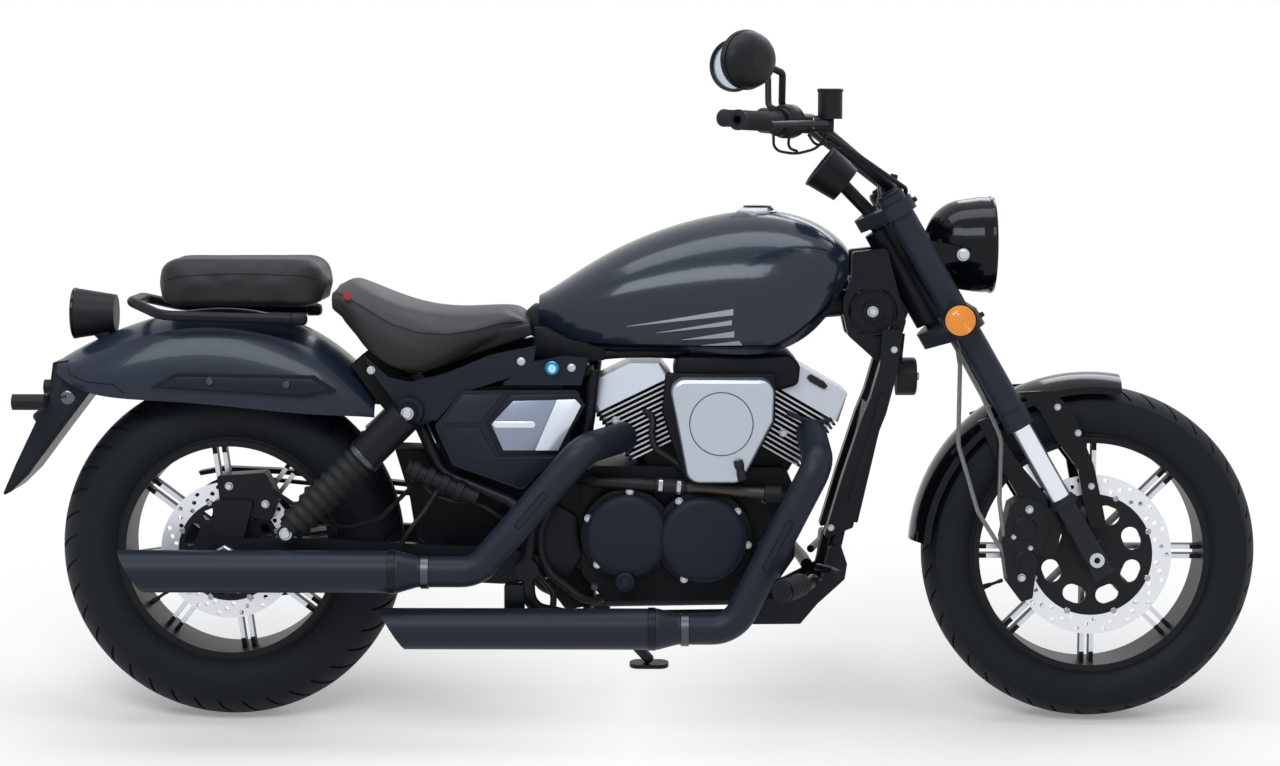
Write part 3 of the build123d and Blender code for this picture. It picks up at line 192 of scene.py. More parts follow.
def place_group(paint, group, **values):
    """Put an effect into a finish with its own values."""
    placed = paint.node_tree.nodes.new("ShaderNodeGroup")
    placed.node_tree = group
    for socket_name, value in values.items():
        placed.inputs[socket_name.replace("_", " ")].default_value = value
    return placed


surface_wear, wear_in, wear_out = effect_group(
    "surface_wear", {"Gloss": 0.3, "Spread": 0.1, "Patch Scale": 9.0, "Grain Scale": 900.0, "Grain": 0.1},
    ("Roughness", "Height"))
wear_place = node(surface_wear, "TexCoord")
wear_patches = node(surface_wear, "TexNoise")
wear_grain = node(surface_wear, "TexNoise")
wear_centre = node(surface_wear, "Math", "SUBTRACT")
wear_centre.inputs[1].default_value = 0.5
wear_spread = node(surface_wear, "Math", "MULTIPLY_ADD")
wear_height = node(surface_wear, "Math", "MULTIPLY")
join(surface_wear, (wear_place.outputs["Object"], wear_patches.inputs["Vector"]),
     (wear_place.outputs["Object"], wear_grain.inputs["Vector"]),
     (wear_in.outputs["Patch Scale"], wear_patches.inputs["Scale"]),
     (wear_in.outputs["Grain Scale"], wear_grain.inputs["Scale"]),
     (wear_patches.outputs["Fac"], wear_centre.inputs[0]), (wear_centre.outputs[0], wear_spread.inputs[0]),
     (wear_in.outputs["Spread"], wear_spread.inputs[1]), (wear_in.outputs["Gloss"], wear_spread.inputs[2]),
     (wear_grain.outputs["Fac"], wear_height.inputs[0]), (wear_in.outputs["Grain"], wear_height.inputs[1]),
     (wear_spread.outputs[0], wear_out.inputs["Roughness"]), (wear_height.outputs[0], wear_out.inputs["Height"]))
COAT_ROUGHNESS = 0.04


def look_of(paint):
    """The input values of a finish's shader."""
    return paint.node_tree.nodes["Principled BSDF"].inputs


def finish(name, colour, gloss, metal=0.0, coat=0.0, spread=0.12, grain=0.0, grain_scale=900.0, bump=0.0004,
           shine=0.25):
    """A plain paint, metal, plastic or rubber, with the shop's faint unevenness in its gloss."""
    paint = bpy.data.materials.new(name)
    paint.use_nodes = True
    look = look_of(paint)
    look["Base Color"].default_value = (*colour, 1)
    look["Metallic"].default_value = metal
    look["Specular IOR Level"].default_value = shine
    look["Coat Weight"].default_value = coat
    look["Coat Roughness"].default_value = COAT_ROUGHNESS
    wear = place_group(paint, surface_wear, Gloss=gloss, Spread=spread, Grain=grain, Grain_Scale=grain_scale)
    join(paint.node_tree, (wear.outputs["Roughness"], look["Roughness"]))
    if grain:
        relief = node(paint.node_tree, "Bump")
        relief.inputs["Distance"].default_value = bump
        join(paint.node_tree, (wear.outputs["Height"], relief.inputs["Height"]),
             (relief.outputs["Normal"], look["Normal"]))
    return paint


def lathe(profile, steps=48, ends="capped"):
    """Turn a profile of (radius, height) pairs round the Z axis, by drawing out a ring edge by edge."""
    bpy.ops.object.select_all(action="DESELECT")
    radius, height = profile[0]
    bpy.ops.mesh.primitive_circle_add(vertices=steps, radius=radius, location=(0, 0, 0), fill_type="NOTHING")
    piece = bpy.context.object
    bpy.ops.object.mode_set(mode="EDIT")
    bpy.ops.mesh.select_all(action="SELECT")
    bpy.ops.transform.translate(value=(0, 0, height))
    for (r_from, z_from), (r_to, z_to) in zip(profile, profile[1:]):
        bpy.ops.mesh.extrude_edges_move(TRANSFORM_OT_translate={"value": (0, 0, z_to - z_from)})
        bpy.ops.transform.resize(value=(r_to / r_from, r_to / r_from, 1), center_override=(0, 0, z_to))
    bpy.ops.mesh.select_all(action="SELECT")
    if ends == "joined":
        bpy.ops.mesh.remove_doubles(threshold=1e-6)
    if ends == "capped":
        bpy.ops.mesh.fill_holes(sides=0)
    bpy.ops.mesh.select_all(action="SELECT")
    bpy.ops.mesh.normals_make_consistent(inside=False)
    bpy.ops.object.mode_set(mode="OBJECT")
    return piece


def aimed(place, direction):
    """The turn and shift that stand a piece made along +Z at a place, pointing in a direction."""
    return Matrix.Translation(place) @ Vector(direction).to_track_quat("Z", "Y").to_matrix().to_4x4()


def pick(piece):
    """Select one piece and nothing else."""
    bpy.ops.object.select_all(action="DESELECT")
    piece.select_set(True)
    bpy.context.view_layer.objects.active = piece


def mount(piece, name, paint, body, placing=None, smooth=30):
    """Put an upright piece in its place on the leaning machine, paint it and fix it to a body."""
    piece.name = piece.data.name = name
    piece.data.transform(ONTO_STAND @ (placing if placing else Matrix.Identity(4)) @ piece.matrix_world)
    piece.matrix_world = Matrix.Identity(4)
    piece.data.materials.clear()
    piece.data.materials.append(paint)
    if smooth:
        pick(piece)
        bpy.ops.object.shade_smooth_by_angle(angle=math.radians(smooth))
    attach(piece, body)
    return piece


CROWN_RADIUS, TREAD_DEPTH, WALL_RIB = 0.078, 0.0035, 0.0007
CROWN_STEPS, WALL_STEPS, RIBBED_STEPS = 9, 8, (3, 6)
BEAD_THICK, WALL_THICK = 0.009, 0.010
GROOVES, COLUMNS_A_GROOVE, GROOVE_SLANT, GROOVE_LAND = 40, 4, 0.16, 0.0022
# Name, axle, tyre radius, half widths of tyre and rim, radii of the bead's lip and of its seat, angle round
# the crown where the tread ends, and the body that turns.
TYRES = [
    ("front_tyre", FRONT_AXLE, 0.299, 0.060, 0.047, 0.216, 0.211, 43.8, "front_wheel"),
    ("rear_tyre", REAR_AXLE, 0.306, 0.075, 0.060, 0.201, 0.196, 62.2, "rear_wheel"),
]
tyre_rubber = finish("tyre_rubber", (0.0062, 0.0084, 0.0110), 0.6, grain=0.4, grain_scale=700, shine=0.16)


def crown_point(tyre_radius, turn):
    """A point of the tread's arc: its radius from the axle and its distance from the middle."""
    return (tyre_radius - CROWN_RADIUS * (1 - math.cos(math.radians(turn))),
            CROWN_RADIUS * math.sin(math.radians(turn)))


for tyre_name, axle, radius, half, rim_half, lip, seat, tread_end, body in TYRES:
    tread = [crown_point(radius, tread_end * n / CROWN_STEPS) for n in range(CROWN_STEPS + 1)]
    shoulder_r, shoulder_y = tread[-1]
    wide_r = (seat + shoulder_r) / 2
    wall = []
    for n in range(1, WALL_STEPS + 1):
        part = n / WALL_STEPS
        middle_y = shoulder_y + (rim_half - shoulder_y) * part
        wall_y = middle_y + (half - (shoulder_y + rim_half) / 2) * math.sin(math.pi * part)
        wall_r = shoulder_r + (lip - shoulder_r) * part
        wall.append((wall_r, min(wall_y, half) + (WALL_RIB if n in RIBBED_STEPS else 0) * (wall_y < half)))
    half_profile = tread + wall + [(seat, rim_half), (seat, rim_half - BEAD_THICK), (wide_r, half - WALL_THICK),
                                   (shoulder_r - BEAD_THICK, shoulder_y - BEAD_THICK)]
    profile = [(r, -y) for r, y in half_profile[::-1]] + half_profile[1:]
    tyre = lathe(profile + profile[:1], GROOVES * COLUMNS_A_GROOVE, ends="joined")
    # The columns of the tread are slanted, then every fourth one is narrowed and sunk.
    shape = bmesh.new()
    shape.from_mesh(tyre.data)
    for vert in shape.verts:
        slant = GROOVE_SLANT * min(abs(vert.co.z), shoulder_y) / shoulder_y
        vert.co = Matrix.Rotation(slant, 3, "Z") @ vert.co
    shape.to_mesh(tyre.data)
    shape.free()
    bpy.ops.object.mode_set(mode="EDIT")
    bpy.ops.mesh.select_all(action="DESELECT")
    bpy.ops.object.mode_set(mode="OBJECT")
    tread_floor = tread[-2][0] - 0.0005
    for face in tyre.data.polygons:
        middle = face.center
        reach = math.hypot(middle.x, middle.y)
        across = abs(middle.z)
        straight = math.atan2(middle.y, middle.x) - GROOVE_SLANT * min(across, shoulder_y) / shoulder_y
        column = math.floor(straight / (2 * math.pi) * GROOVES * COLUMNS_A_GROOVE + 1e-3) % COLUMNS_A_GROOVE
        side_shift = 0 if middle.z > 0 else COLUMNS_A_GROOVE // 2
        outer = reach > tread_floor and tread[2][1] < across < shoulder_y
        face.select = outer and column == side_shift
    bpy.ops.object.mode_set(mode="EDIT")
    bpy.ops.mesh.inset(thickness=GROOVE_LAND, depth=0)
    bpy.ops.mesh.extrude_region_move()
    bpy.ops.transform.shrink_fatten(value=-TREAD_DEPTH)
    bpy.ops.object.mode_set(mode="OBJECT")
    mount(tyre, tyre_name + "_tread", tyre_rubber, body, aimed(axle, (0, 1, 0)), smooth=28)
    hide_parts(tyre_name)

# ---- wheel rims ----
# Cast alloy, painted satin black. The flat faces of the paired spokes are machined bright near the hub, and
# each rim carries a valve.
SPOKE_BRIGHT = {"front": (0.040, 0.183), "rear": (0.050, 0.169)}
SIDE_FACING = 0.95
wheel_zones, zone_in, zone_out = effect_group(
    "wheel_zones", {"Axle": (0, 0, 0), "Axle Line": (0, 0, 0), "Inner": 0.0, "Outer": 0.0}, ("Band", "Side Face"))
zone_place = node(wheel_zones, "TexCoord")
zone_normal = node(wheel_zones, "NewGeometry")
zone_arm = node(wheel_zones, "VectorMath", "SUBTRACT")
zone_square = node(wheel_zones, "VectorMath", "CROSS_PRODUCT")
zone_reach = node(wheel_zones, "VectorMath", "LENGTH")
zone_above = node(wheel_zones, "Math", "GREATER_THAN")
zone_below = node(wheel_zones, "Math", "LESS_THAN")
zone_band = node(wheel_zones, "Math", "MULTIPLY")
zone_facing = node(wheel_zones, "VectorMath", "DOT_PRODUCT")
zone_flat = node(wheel_zones, "Math", "ABSOLUTE")
zone_side = node(wheel_zones, "Math", "GREATER_THAN")
zone_side.inputs[1].default_value = SIDE_FACING
join(wheel_zones, (zone_place.outputs["Object"], zone_arm.inputs[0]), (zone_in.outputs["Axle"], zone_arm.inputs[1]),
     (zone_arm.outputs[0], zone_square.inputs[0]), (zone_in.outputs["Axle Line"], zone_square.inputs[1]),
     (zone_square.outputs[0], zone_reach.inputs[0]), (zone_reach.outputs["Value"], zone_above.inputs[0]),
     (zone_in.outputs["Inner"], zone_above.inputs[1]), (zone_reach.outputs["Value"], zone_below.inputs[0]),
     (zone_in.outputs["Outer"], zone_below.inputs[1]), (zone_above.outputs[0], zone_band.inputs[0]),
     (zone_below.outputs[0], zone_band.inputs[1]), (zone_normal.outputs["True Normal"], zone_facing.inputs[0]),
     (zone_in.outputs["Axle Line"], zone_facing.inputs[1]), (zone_facing.outputs["Value"], zone_flat.inputs[0]),
     (zone_flat.outputs[0], zone_side.inputs[0]), (zone_band.outputs[0], zone_out.inputs["Band"]),
     (zone_side.outputs[0], zone_out.inputs["Side Face"]))


def two_tone(name, base, bright, bright_gloss, axle, inner, outer, flat_only, base_gloss=0.42):
    """Black paint with a bright machined zone between two radii of a wheel."""
    paint = finish(name, base, base_gloss, shine=0.18)
    tree, look = paint.node_tree, look_of(paint)
    zones = place_group(paint, wheel_zones, Axle=ONTO_STAND @ axle, Axle_Line=ACROSS, Inner=inner, Outer=outer)
    mask = node(tree, "Math", "MULTIPLY")
    mask.inputs[1].default_value = 1.0
    if flat_only:
        join(tree, (zones.outputs["Side Face"], mask.inputs[1]))
    tint = blend_of_colours(tree, (*base, 1), (*bright, 1))
    dulling = node(tree, "MapRange")
    dulling.inputs["To Min"].default_value = base_gloss
    dulling.inputs["To Max"].default_value = bright_gloss
    join(tree, (zones.outputs["Band"], mask.inputs[0]), (mask.outputs[0], tint.inputs["Factor"]),
         (tint.outputs["Result"], look["Base Color"]), (mask.outputs[0], look["Metallic"]),
         (mask.outputs[0], dulling.inputs["Value"]), (dulling.outputs["Result"], look["Roughness"]))
    return paint


def coat_node(node_name, paint):
    """Give a solid of the frame its finish."""
    for material_slot in frame["nodes"][node_name].material_slots:
        material_slot.material = paint


turned_before = {}


def turned(name, profile, paint, body, place, direction, steps=48, ends="capped", smooth=30):
    """A piece turned from a profile and fixed at a place. Of like pieces the first is turned, the rest copied."""
    like = (tuple(profile), steps, ends)
    if like in turned_before:
        piece = bpy.data.objects.new(name, turned_before[like].copy())
        bpy.context.collection.objects.link(piece)
    else:
        piece = lathe(profile, steps, ends)
        turned_before[like] = piece.data.copy()
    return mount(piece, name, paint, body, aimed(place, direction), smooth)


WHEEL_ENDS = {"front": (FRONT_AXLE, "front_wheel"), "rear": (REAR_AXLE, "rear_wheel")}
for end, (axle, body) in WHEEL_ENDS.items():
    bright_from, bright_to = SPOKE_BRIGHT[end]
    coat_node(end + "_rim", two_tone("rim_paint_" + end, (0.0040, 0.0046, 0.0058), (0.62, 0.65, 0.70), 0.28, axle,
                                     bright_from, bright_to, True))
valve_rubber = finish("valve_rubber", (0.014, 0.014, 0.014), 0.6, grain=0.3)
polished_steel = finish("polished_steel", (0.78, 0.81, 0.87), 0.18, metal=0.9, spread=0.05)
for end, valve_radius, turn in (("front", 0.200, 200), ("rear", 0.185, 215)):
    axle, body = WHEEL_ENDS[end]
    outwards = Vector((math.cos(math.radians(turn)), 0, math.sin(math.radians(turn))))
    turned("valve_" + end,
           [(0.004, 0), (0.005, 0.003), (0.004, 0.016), (0.0028, 0.018), (0.0028, 0.030), (0.0036, 0.031),
            (0.0036, 0.038), (0.002, 0.040)],
           valve_rubber, body, axle + outwards * valve_radius, -outwards, steps=16)

# ---- brake discs ----
# A drilled steel ring riveted to a black slotted carrier, on the right-hand face of each hub. The ring is
# stamped and ground, and the carrier is bolted to the hub.
DISC_SIZES = {"front": (0.143, 0.109, 0.0505), "rear": (0.122, 0.091, 0.0645)}
rivet_steel = finish("rivet_steel", (0.34, 0.36, 0.40), 0.3, metal=1.0)
RIVETS, RIVET_STAND = 8, 0.0025
for end, (outer, carrier, face) in DISC_SIZES.items():
    axle, body = WHEEL_ENDS[end]
    coat_node(end + "_disc", two_tone("disc_finish_" + end, (0.0075, 0.0080, 0.0095), (0.72, 0.74, 0.78), 0.40, axle,
                                      carrier, outer + 0.01, False))
    for n in range(RIVETS):
        turn = 2 * math.pi * (n + 0.5) / RIVETS
        place = axle + Vector((math.cos(turn) * carrier, -face - RIVET_STAND, math.sin(turn) * carrier))
        turned(f"disc_rivet_{end}_{n + 1}",
               [(0.0055, 0), (0.0055, 0.0012), (0.0042, 0.0022), (0.0022, 0.0022), (0.0020, 0.0012)],
               rivet_steel, body, place, (0, -1, 0), steps=18)

# ---- fork ----
# Polished steel inner tubes in satin black outer ones, clamped in two painted yokes. The forged legs at the
# foot hold the axle with pinch bolts, under rubber dust seals.
FORK_SPREAD = 0.097
UP_FORK, AHEAD = Vector((-0.5, 0, math.sqrt(0.75))), Vector((math.sqrt(0.75), 0, 0.5))


def fork_point(along, ahead=0.0, side=0.0):
    """A point by its distance up the fork from the axle, ahead of the legs, and to the left."""
    return FRONT_AXLE + UP_FORK * along + AHEAD * ahead + Vector((0, side, 0))


def screw(radius, height):
    """A cap screw made along +Z, with a washer under its head and a round socket sunk in it."""
    piece = lathe([(radius * 1.3, 0), (radius * 1.3, height * 0.2), (radius, height * 0.2), (radius, height * 0.8),
                   (radius * 0.86, height)], 20)
    for face in piece.data.polygons:
        face.select = face.center.z > height * 0.99
    bpy.ops.object.mode_set(mode="EDIT")
    bpy.ops.mesh.inset(thickness=radius * 0.36, depth=0)
    bpy.ops.mesh.extrude_region_move(TRANSFORM_OT_translate={"value": (0, 0, -height * 0.55)})
    bpy.ops.object.mode_set(mode="OBJECT")
    return piece


def twin(piece):
    """A second piece of the same shape, with its own mesh."""
    copy = piece.copy()
    copy.data = piece.data.copy()
    bpy.context.collection.objects.link(copy)
    return copy


def screws(name, radius, height, direction, places, paint, body):
    """A set of like screws, one at each place, all pointing in one direction."""
    pattern = screw(radius, height)
    for n, place in enumerate(places):
        piece = pattern if n == len(places) - 1 else twin(pattern)
        mount(piece, f"{name}_{n + 1}", paint, body, aimed(Vector(place), direction))


RIGHT, LEFT = Vector((0, -1, 0)), Vector((0, 1, 0))
SIDES = (-1, 1)
zinc = finish("zinc_plate", (0.52, 0.54, 0.58), 0.32, metal=0.8)
satin_black = finish("satin_black_paint", (0.0056, 0.0072, 0.0102), 0.38, shine=0.16)
forged_grey = finish("forged_grey", (0.013, 0.014, 0.017), 0.42, metal=0.1, grain=0.4, shine=0.20)
seal_rubber = finish("seal_rubber", (0.008, 0.008, 0.008), 0.62, grain=0.2)
coat_node("fork_upper", finish("fork_black", (0.0150, 0.0200, 0.0285), 0.42, shine=0.18))
coat_node("fork_stanchions", polished_steel)
coat_node("fork_legs", forged_grey)
coat_node("front_axle", zinc)
for side in SIDES:
    turned(f"dust_seal_{side + 2}",
           [(0.0187, 0), (0.0245, 0), (0.0255, 0.003), (0.0255, 0.008), (0.0225, 0.010), (0.0225, 0.014),
            (0.0205, 0.016), (0.0187, 0.016)],
           seal_rubber, "front_fork", fork_point(0.109, 0, side * FORK_SPREAD), UP_FORK, ends="open")
    turned(f"fork_cap_{side + 2}",
           [(0.0225, 0), (0.0225, 0.004), (0.0205, 0.006), (0.014, 0.006), (0.014, 0.010), (0.010, 0.010),
            (0.010, 0.006)],
           satin_black, "front_fork", fork_point(0.738, 0, side * FORK_SPREAD), UP_FORK, steps=40)
screws("yoke_screw", 0.0045, 0.007, AHEAD,
       [fork_point(along, ahead, side * FORK_SPREAD) for side in SIDES
        for along, ahead in ((0.712, 0.0315), (0.477, 0.0345))], satin_black, "front_fork")
screws("axle_pinch", 0.004, 0.006, AHEAD,
       [fork_point(along, 0.0175, side * FORK_SPREAD) for side in SIDES for along in (-0.022, 0.022)],
       satin_black, "front_fork")
screws("riser_screw", 0.004, 0.006, (0.35, 0, 0.94),
       [(0.4125, side * 0.030, 0.9685) for side in SIDES], satin_black, "front_fork")

# ---- front fender ----
# One pressed steel sheet over the wheel, painted gloss black, on a forked steel stay each side that is
# screwed to the fork legs.
gloss_black = finish("gloss_black_paint", (0.0022, 0.0028, 0.0042), 0.14, coat=0.14, spread=0.03, shine=0.12)
coat_node("front_fender", gloss_black)


def at_side(y, *spots):
    """Places at one distance from the machine's middle, each from its x and z."""
    return [(x, y, z) for x, z in spots]


for side in SIDES:
    screws(f"stay_screw_{side + 2}", 0.0045, 0.006, (0, side, 0),
           at_side(side * 0.0775, (0.700, 0.566), (0.737, 0.520), (0.762, 0.425)), zinc, "front_fork")

# ---- front brake ----
# A black cast calliper over the right-hand disc, with plated screws, fed by two hoses in braided steel that
# hang behind the right fork leg.
calliper_black = finish("calliper_black", (0.007, 0.0075, 0.009), 0.45, grain=0.5, shine=0.18)
coat_node("front_caliper", calliper_black)
CALLIPER_FACE = 0.0838
screws("calliper_screw", 0.0055, 0.008, RIGHT, at_side(-CALLIPER_FACE, (0.652, 0.384), (0.640, 0.262)), zinc,
       "front_fork")
screws("calliper_pin", 0.0035, 0.006, RIGHT, at_side(-CALLIPER_FACE, (0.625, 0.335), (0.655, 0.315)), zinc,
       "front_fork")
for name, x, z in (("low", 0.648, 0.290), ("high", 0.644, 0.350)):
    turned("piston_cover_" + name, [(0.021, 0), (0.021, 0.002), (0.019, 0.0035), (0.013, 0.0035), (0.012, 0.0025)],
           calliper_black, "front_fork", (x, -CALLIPER_FACE, z), RIGHT, steps=40)
STRAND_TURN, STRAND_RELIEF = 45, 0.0004
braid, braid_in, braid_out = effect_group("braid", {"Strands": 900.0, "Relief": 1.0}, ("Height",))
braid_place = node(braid, "TexCoord")
braid_height = node(braid, "Math", "MULTIPLY")
braid_over = node(braid, "Math", "MAXIMUM")
for n, turn in enumerate((STRAND_TURN, -STRAND_TURN)):
    laid = node(braid, "Mapping")
    laid.inputs["Rotation"].default_value = (math.radians(turn), math.radians(turn), 0)
    strands = node(braid, "TexWave")
    join(braid, (braid_place.outputs["Object"], laid.inputs["Vector"]),
         (laid.outputs["Vector"], strands.inputs["Vector"]), (braid_in.outputs["Strands"], strands.inputs["Scale"]),
         (strands.outputs["Fac"], braid_over.inputs[n]))
join(braid, (braid_over.outputs[0], braid_height.inputs[0]), (braid_in.outputs["Relief"], braid_height.inputs[1]),
     (braid_height.outputs[0], braid_out.inputs["Height"]))


def braided(name, colour, metal):
    """Cover for a hose: fine strands crossing both ways."""
    paint = finish(name, colour, 0.38, metal=metal)
    relief = node(paint.node_tree, "Bump")
    relief.inputs["Distance"].default_value = STRAND_RELIEF
    join(paint.node_tree, (place_group(paint, braid).outputs["Height"], relief.inputs["Height"]),
         (relief.outputs["Normal"], look_of(paint)["Normal"]))
    return paint


coat_node("front_hoses", braided("steel_braid", (0.28, 0.28, 0.28), 0.9))
coat_node("rear_hose", braided("black_braid", (0.012, 0.012, 0.013), 0.0))

# ---- headlamp ----
# A deep pressed bowl in gloss black with a bright dish and a bulb inside, closed by clear domed glass, and
# hung from two ears by a plated screw each side.
coat_node("headlamp", gloss_black)
lamp_glass = finish("lamp_glass", (0.93, 0.95, 0.97), 0.03, spread=0.02)
look_of(lamp_glass)["Transmission Weight"].default_value = 1.0
look_of(lamp_glass)["IOR"].default_value = 1.3
coat_node("headlamp_lens", lamp_glass)
LAMP_FACE = Vector((0.583, 0, 0.849))
FORWARD = Vector((1, 0, 0))
mirror_bright = finish("bright_mirror", (0.86, 0.87, 0.88), 0.06, metal=1.0, spread=0.03)
DISH = [(0.012, -0.090), (0.028, -0.086), (0.045, -0.072), (0.058, -0.052), (0.067, -0.030), (0.073, -0.006),
        (0.0745, -0.005)]
turned("lamp_dish", DISH, mirror_bright, "front_fork", LAMP_FACE, FORWARD, steps=64, ends="open")
BULB = [(0.011, -0.092), (0.011, -0.070), (0.009, -0.068), (0.009, -0.048), (0.006, -0.040), (0.0015, -0.038)]
turned("lamp_bulb", BULB, finish("bulb_glass", (0.75, 0.77, 0.8), 0.08, metal=0.5), "front_fork", LAMP_FACE, FORWARD,
       steps=32)
LAMP_RIM = [(0.0795, 0.0), (0.0862, 0.0), (0.0868, 0.004), (0.0845, 0.008), (0.0800, 0.009), (0.0792, 0.006)]
turned("lamp_rim", LAMP_RIM, gloss_black, "front_fork", LAMP_FACE, FORWARD, steps=96, ends="open")
for side in SIDES:
    screws(f"lamp_screw_{side + 2}", 0.0085, 0.006, (0, side, 0), [(0.528, side * 0.0955, 0.836)], zinc, "front_fork")

# ---- front indicators ----
# A round black cup on a stalk each side of the fork, with a ribbed amber lens facing outwards. Both are
# moulded plastic, and the stalk is fixed to the fork.
moulded_black = finish("moulded_black", (0.0075, 0.0078, 0.009), 0.46, grain=0.4, shine=0.18)
amber_lens = finish("amber_lens", (0.86, 0.27, 0.015), 0.14, coat=0.6, spread=0.04)
coat_node("front_indicators", moulded_black)
LENS_RIDGES = [(0.0262, 0), (0.0262, 0.0025), (0.0238, 0.0042), (0.0228, 0.0036), (0.0200, 0.0056),
               (0.0190, 0.0050), (0.0155, 0.0068), (0.0145, 0.0062), (0.0100, 0.0077), (0.0090, 0.0071),
               (0.0040, 0.0082), (0.0005, 0.0083)]
for side in SIDES:
    turned(f"indicator_lens_{side + 2}", LENS_RIDGES, amber_lens, "front_fork", (0.517, side * 0.1638, 0.725),
           (0, side, 0), smooth=20)

# ---- handlebar ----
# Satin black steel tube with ribbed rubber grips. Cast housings carry the levers, the brake's reservoir and
# the switches, and black cables run from them to the yoke.
BAR_RISE, BAR_END = Vector((0.262, 0.185, 1.064)), Vector((0.120, 0.400, 1.072))
coat_node("handlebar", satin_black)
coat_node("hand_controls", moulded_black)
coat_node("control_cables", seal_rubber)
grip_rubber = finish("grip_rubber", (0.008, 0.008, 0.0085), 0.6, grain=0.5)
GRIP_START, GRIP_LENGTH, GRIP_RIBS = 0.50, 0.1289, 22


def bar_point(along, side, ahead=0.0, above=0.0):
    """A point of the bar's straight end, from 0 at its bend to 1 at its tip."""
    point = BAR_RISE + (BAR_END - BAR_RISE) * along
    return Vector((point.x + ahead, side * point.y, point.z + above))


def tube(points, radius, name, paint, body, rounds=4):
    """A bent rubber or metal tube drawn through points and rounded at every bend."""
    bpy.ops.object.select_all(action="DESELECT")
    bpy.ops.curve.primitive_bezier_curve_add(location=(0, 0, 0))
    route = bpy.context.object
    line = route.data.splines[0]
    line.bezier_points.add(len(points) - 2)
    for knot, place in zip(line.bezier_points, points):
        knot.co = place
        knot.handle_left_type = knot.handle_right_type = "AUTO"
    route.data.dimensions = "3D"
    route.data.bevel_depth = radius
    route.data.bevel_resolution = rounds
    route.data.use_fill_caps = True
    bpy.ops.object.convert(target="MESH")
    return mount(bpy.context.object, name, paint, body)


grip_profile = [(0.0112, 0), (0.0175, 0), (0.0185, 0.002), (0.0185, 0.006), (0.0165, 0.008)]
rib_pitch = (GRIP_LENGTH - 0.018) / GRIP_RIBS
for n in range(GRIP_RIBS):
    start = 0.008 + n * rib_pitch
    grip_profile += [(0.0165, start + 0.3 * rib_pitch), (0.0157, start + 0.45 * rib_pitch),
                     (0.0157, start + 0.75 * rib_pitch), (0.0165, start + 0.9 * rib_pitch)]
grip_profile += [(0.0172, GRIP_LENGTH - 0.006), (0.0172, GRIP_LENGTH - 0.001), (0.0112, GRIP_LENGTH)]
grip = lathe(grip_profile, 40, ends="open")
for side in SIDES:
    piece = twin(grip) if side < 0 else grip
    mount(piece, f"grip_{side + 2}", grip_rubber, "front_fork",
          aimed(bar_point(GRIP_START, side), bar_point(1, side) - bar_point(0, side)), smooth=35)
    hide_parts("grips")
turned("throttle_case",
       [(0.0190, 0), (0.0260, 0.002), (0.0290, 0.008), (0.0290, 0.030), (0.0260, 0.038), (0.0185, 0.041)],
       moulded_black, "front_fork", bar_point(0.30, -1, 0, 0.002), bar_point(1, -1) - bar_point(0, -1))
RESERVOIR_TOP = bar_point(0.12, -1, 0.040, 0.054)
turned("reservoir_lid",
       [(0.0215, 0), (0.0225, 0.0005), (0.0225, 0.004), (0.0205, 0.0055), (0.0120, 0.0055), (0.0110, 0.0045)],
       moulded_black, "front_fork", RESERVOIR_TOP, (0, 0, 1))
screws("reservoir_screw", 0.002, 0.002, (0, 0, 1),
       [RESERVOIR_TOP + Vector((x, y, 0.0045)) for x, y in ((0.016, 0.0), (-0.016, 0.0))], zinc, "front_fork")
screws("perch_screw", 0.003, 0.004, (1, 0, 0),
       [bar_point(0.16, side, 0.0165, above) for side in SIDES for above in (-0.006, 0.006)], zinc, "front_fork")
THROTTLE_CABLES = [
    [(0.186, -0.262, 1.046), (0.190, -0.260, 1.024), (0.210, -0.254, 1.016), (0.244, -0.232, 1.018),
     (0.268, -0.208, 1.029), (0.280, -0.199, 1.046)],
    [(0.214, -0.250, 1.046), (0.214, -0.248, 1.026), (0.228, -0.240, 1.018)],
    [(0.248, -0.215, 1.046), (0.262, -0.205, 1.030), (0.285, -0.185, 1.032), (0.304, -0.165, 1.022),
     (0.313, -0.155, 1.027)],
]
for n, route in enumerate(THROTTLE_CABLES):
    tube(route, 0.0024, f"throttle_cable_{n + 1}", seal_rubber, "front_fork")

# ---- mirrors ----
# Domed black plastic shells on bent stems, each with an oval of silvered glass set inside a thin lip. The
# stems are steel rod, painted black and screwed to the bar's clamps.
MIRROR_TURN = math.radians(42)
MIRROR_WIDE, MIRROR_HIGH = 0.056, 0.044
coat_node("mirrors", moulded_black)
mirror_glass = finish("mirror_glass", (0.56, 0.61, 0.67), 0.05, metal=0.55, spread=0.01)
for side in SIDES:
    facing = Vector((-math.cos(MIRROR_TURN), -side * math.sin(MIRROR_TURN), 0))
    centre = Vector((0.138, side * 0.335, 1.171))
    glass = lathe([(0.060, 0.0), (0.060, 0.0012), (0.0575, 0.0016), (0.056, 0.0006), (0.040, 0.0012), (0.020, 0.0016),
                   (0.001, 0.0017)], 72)
    oval = Matrix.Diagonal((1, MIRROR_HIGH / MIRROR_WIDE, 1, 1))
    across_glass = facing.cross(Vector((0, 0, 1)))
    stand = Matrix((across_glass, Vector((0, 0, 1)), facing)).transposed().to_4x4()
    mount(glass, f"mirror_glass_{side + 2}", mirror_glass, "front_fork", Matrix.Translation(centre) @ stand @ oval)
    lip = lathe([(0.0555, 0.0010), (0.0560, 0.0045), (0.0590, 0.0060), (0.0630, 0.0045), (0.0640, 0.0),
                 (0.0620, -0.004)], 72, ends="open")
    mount(lip, f"mirror_lip_{side + 2}", moulded_black, "front_fork", Matrix.Translation(centre) @ stand @ oval)
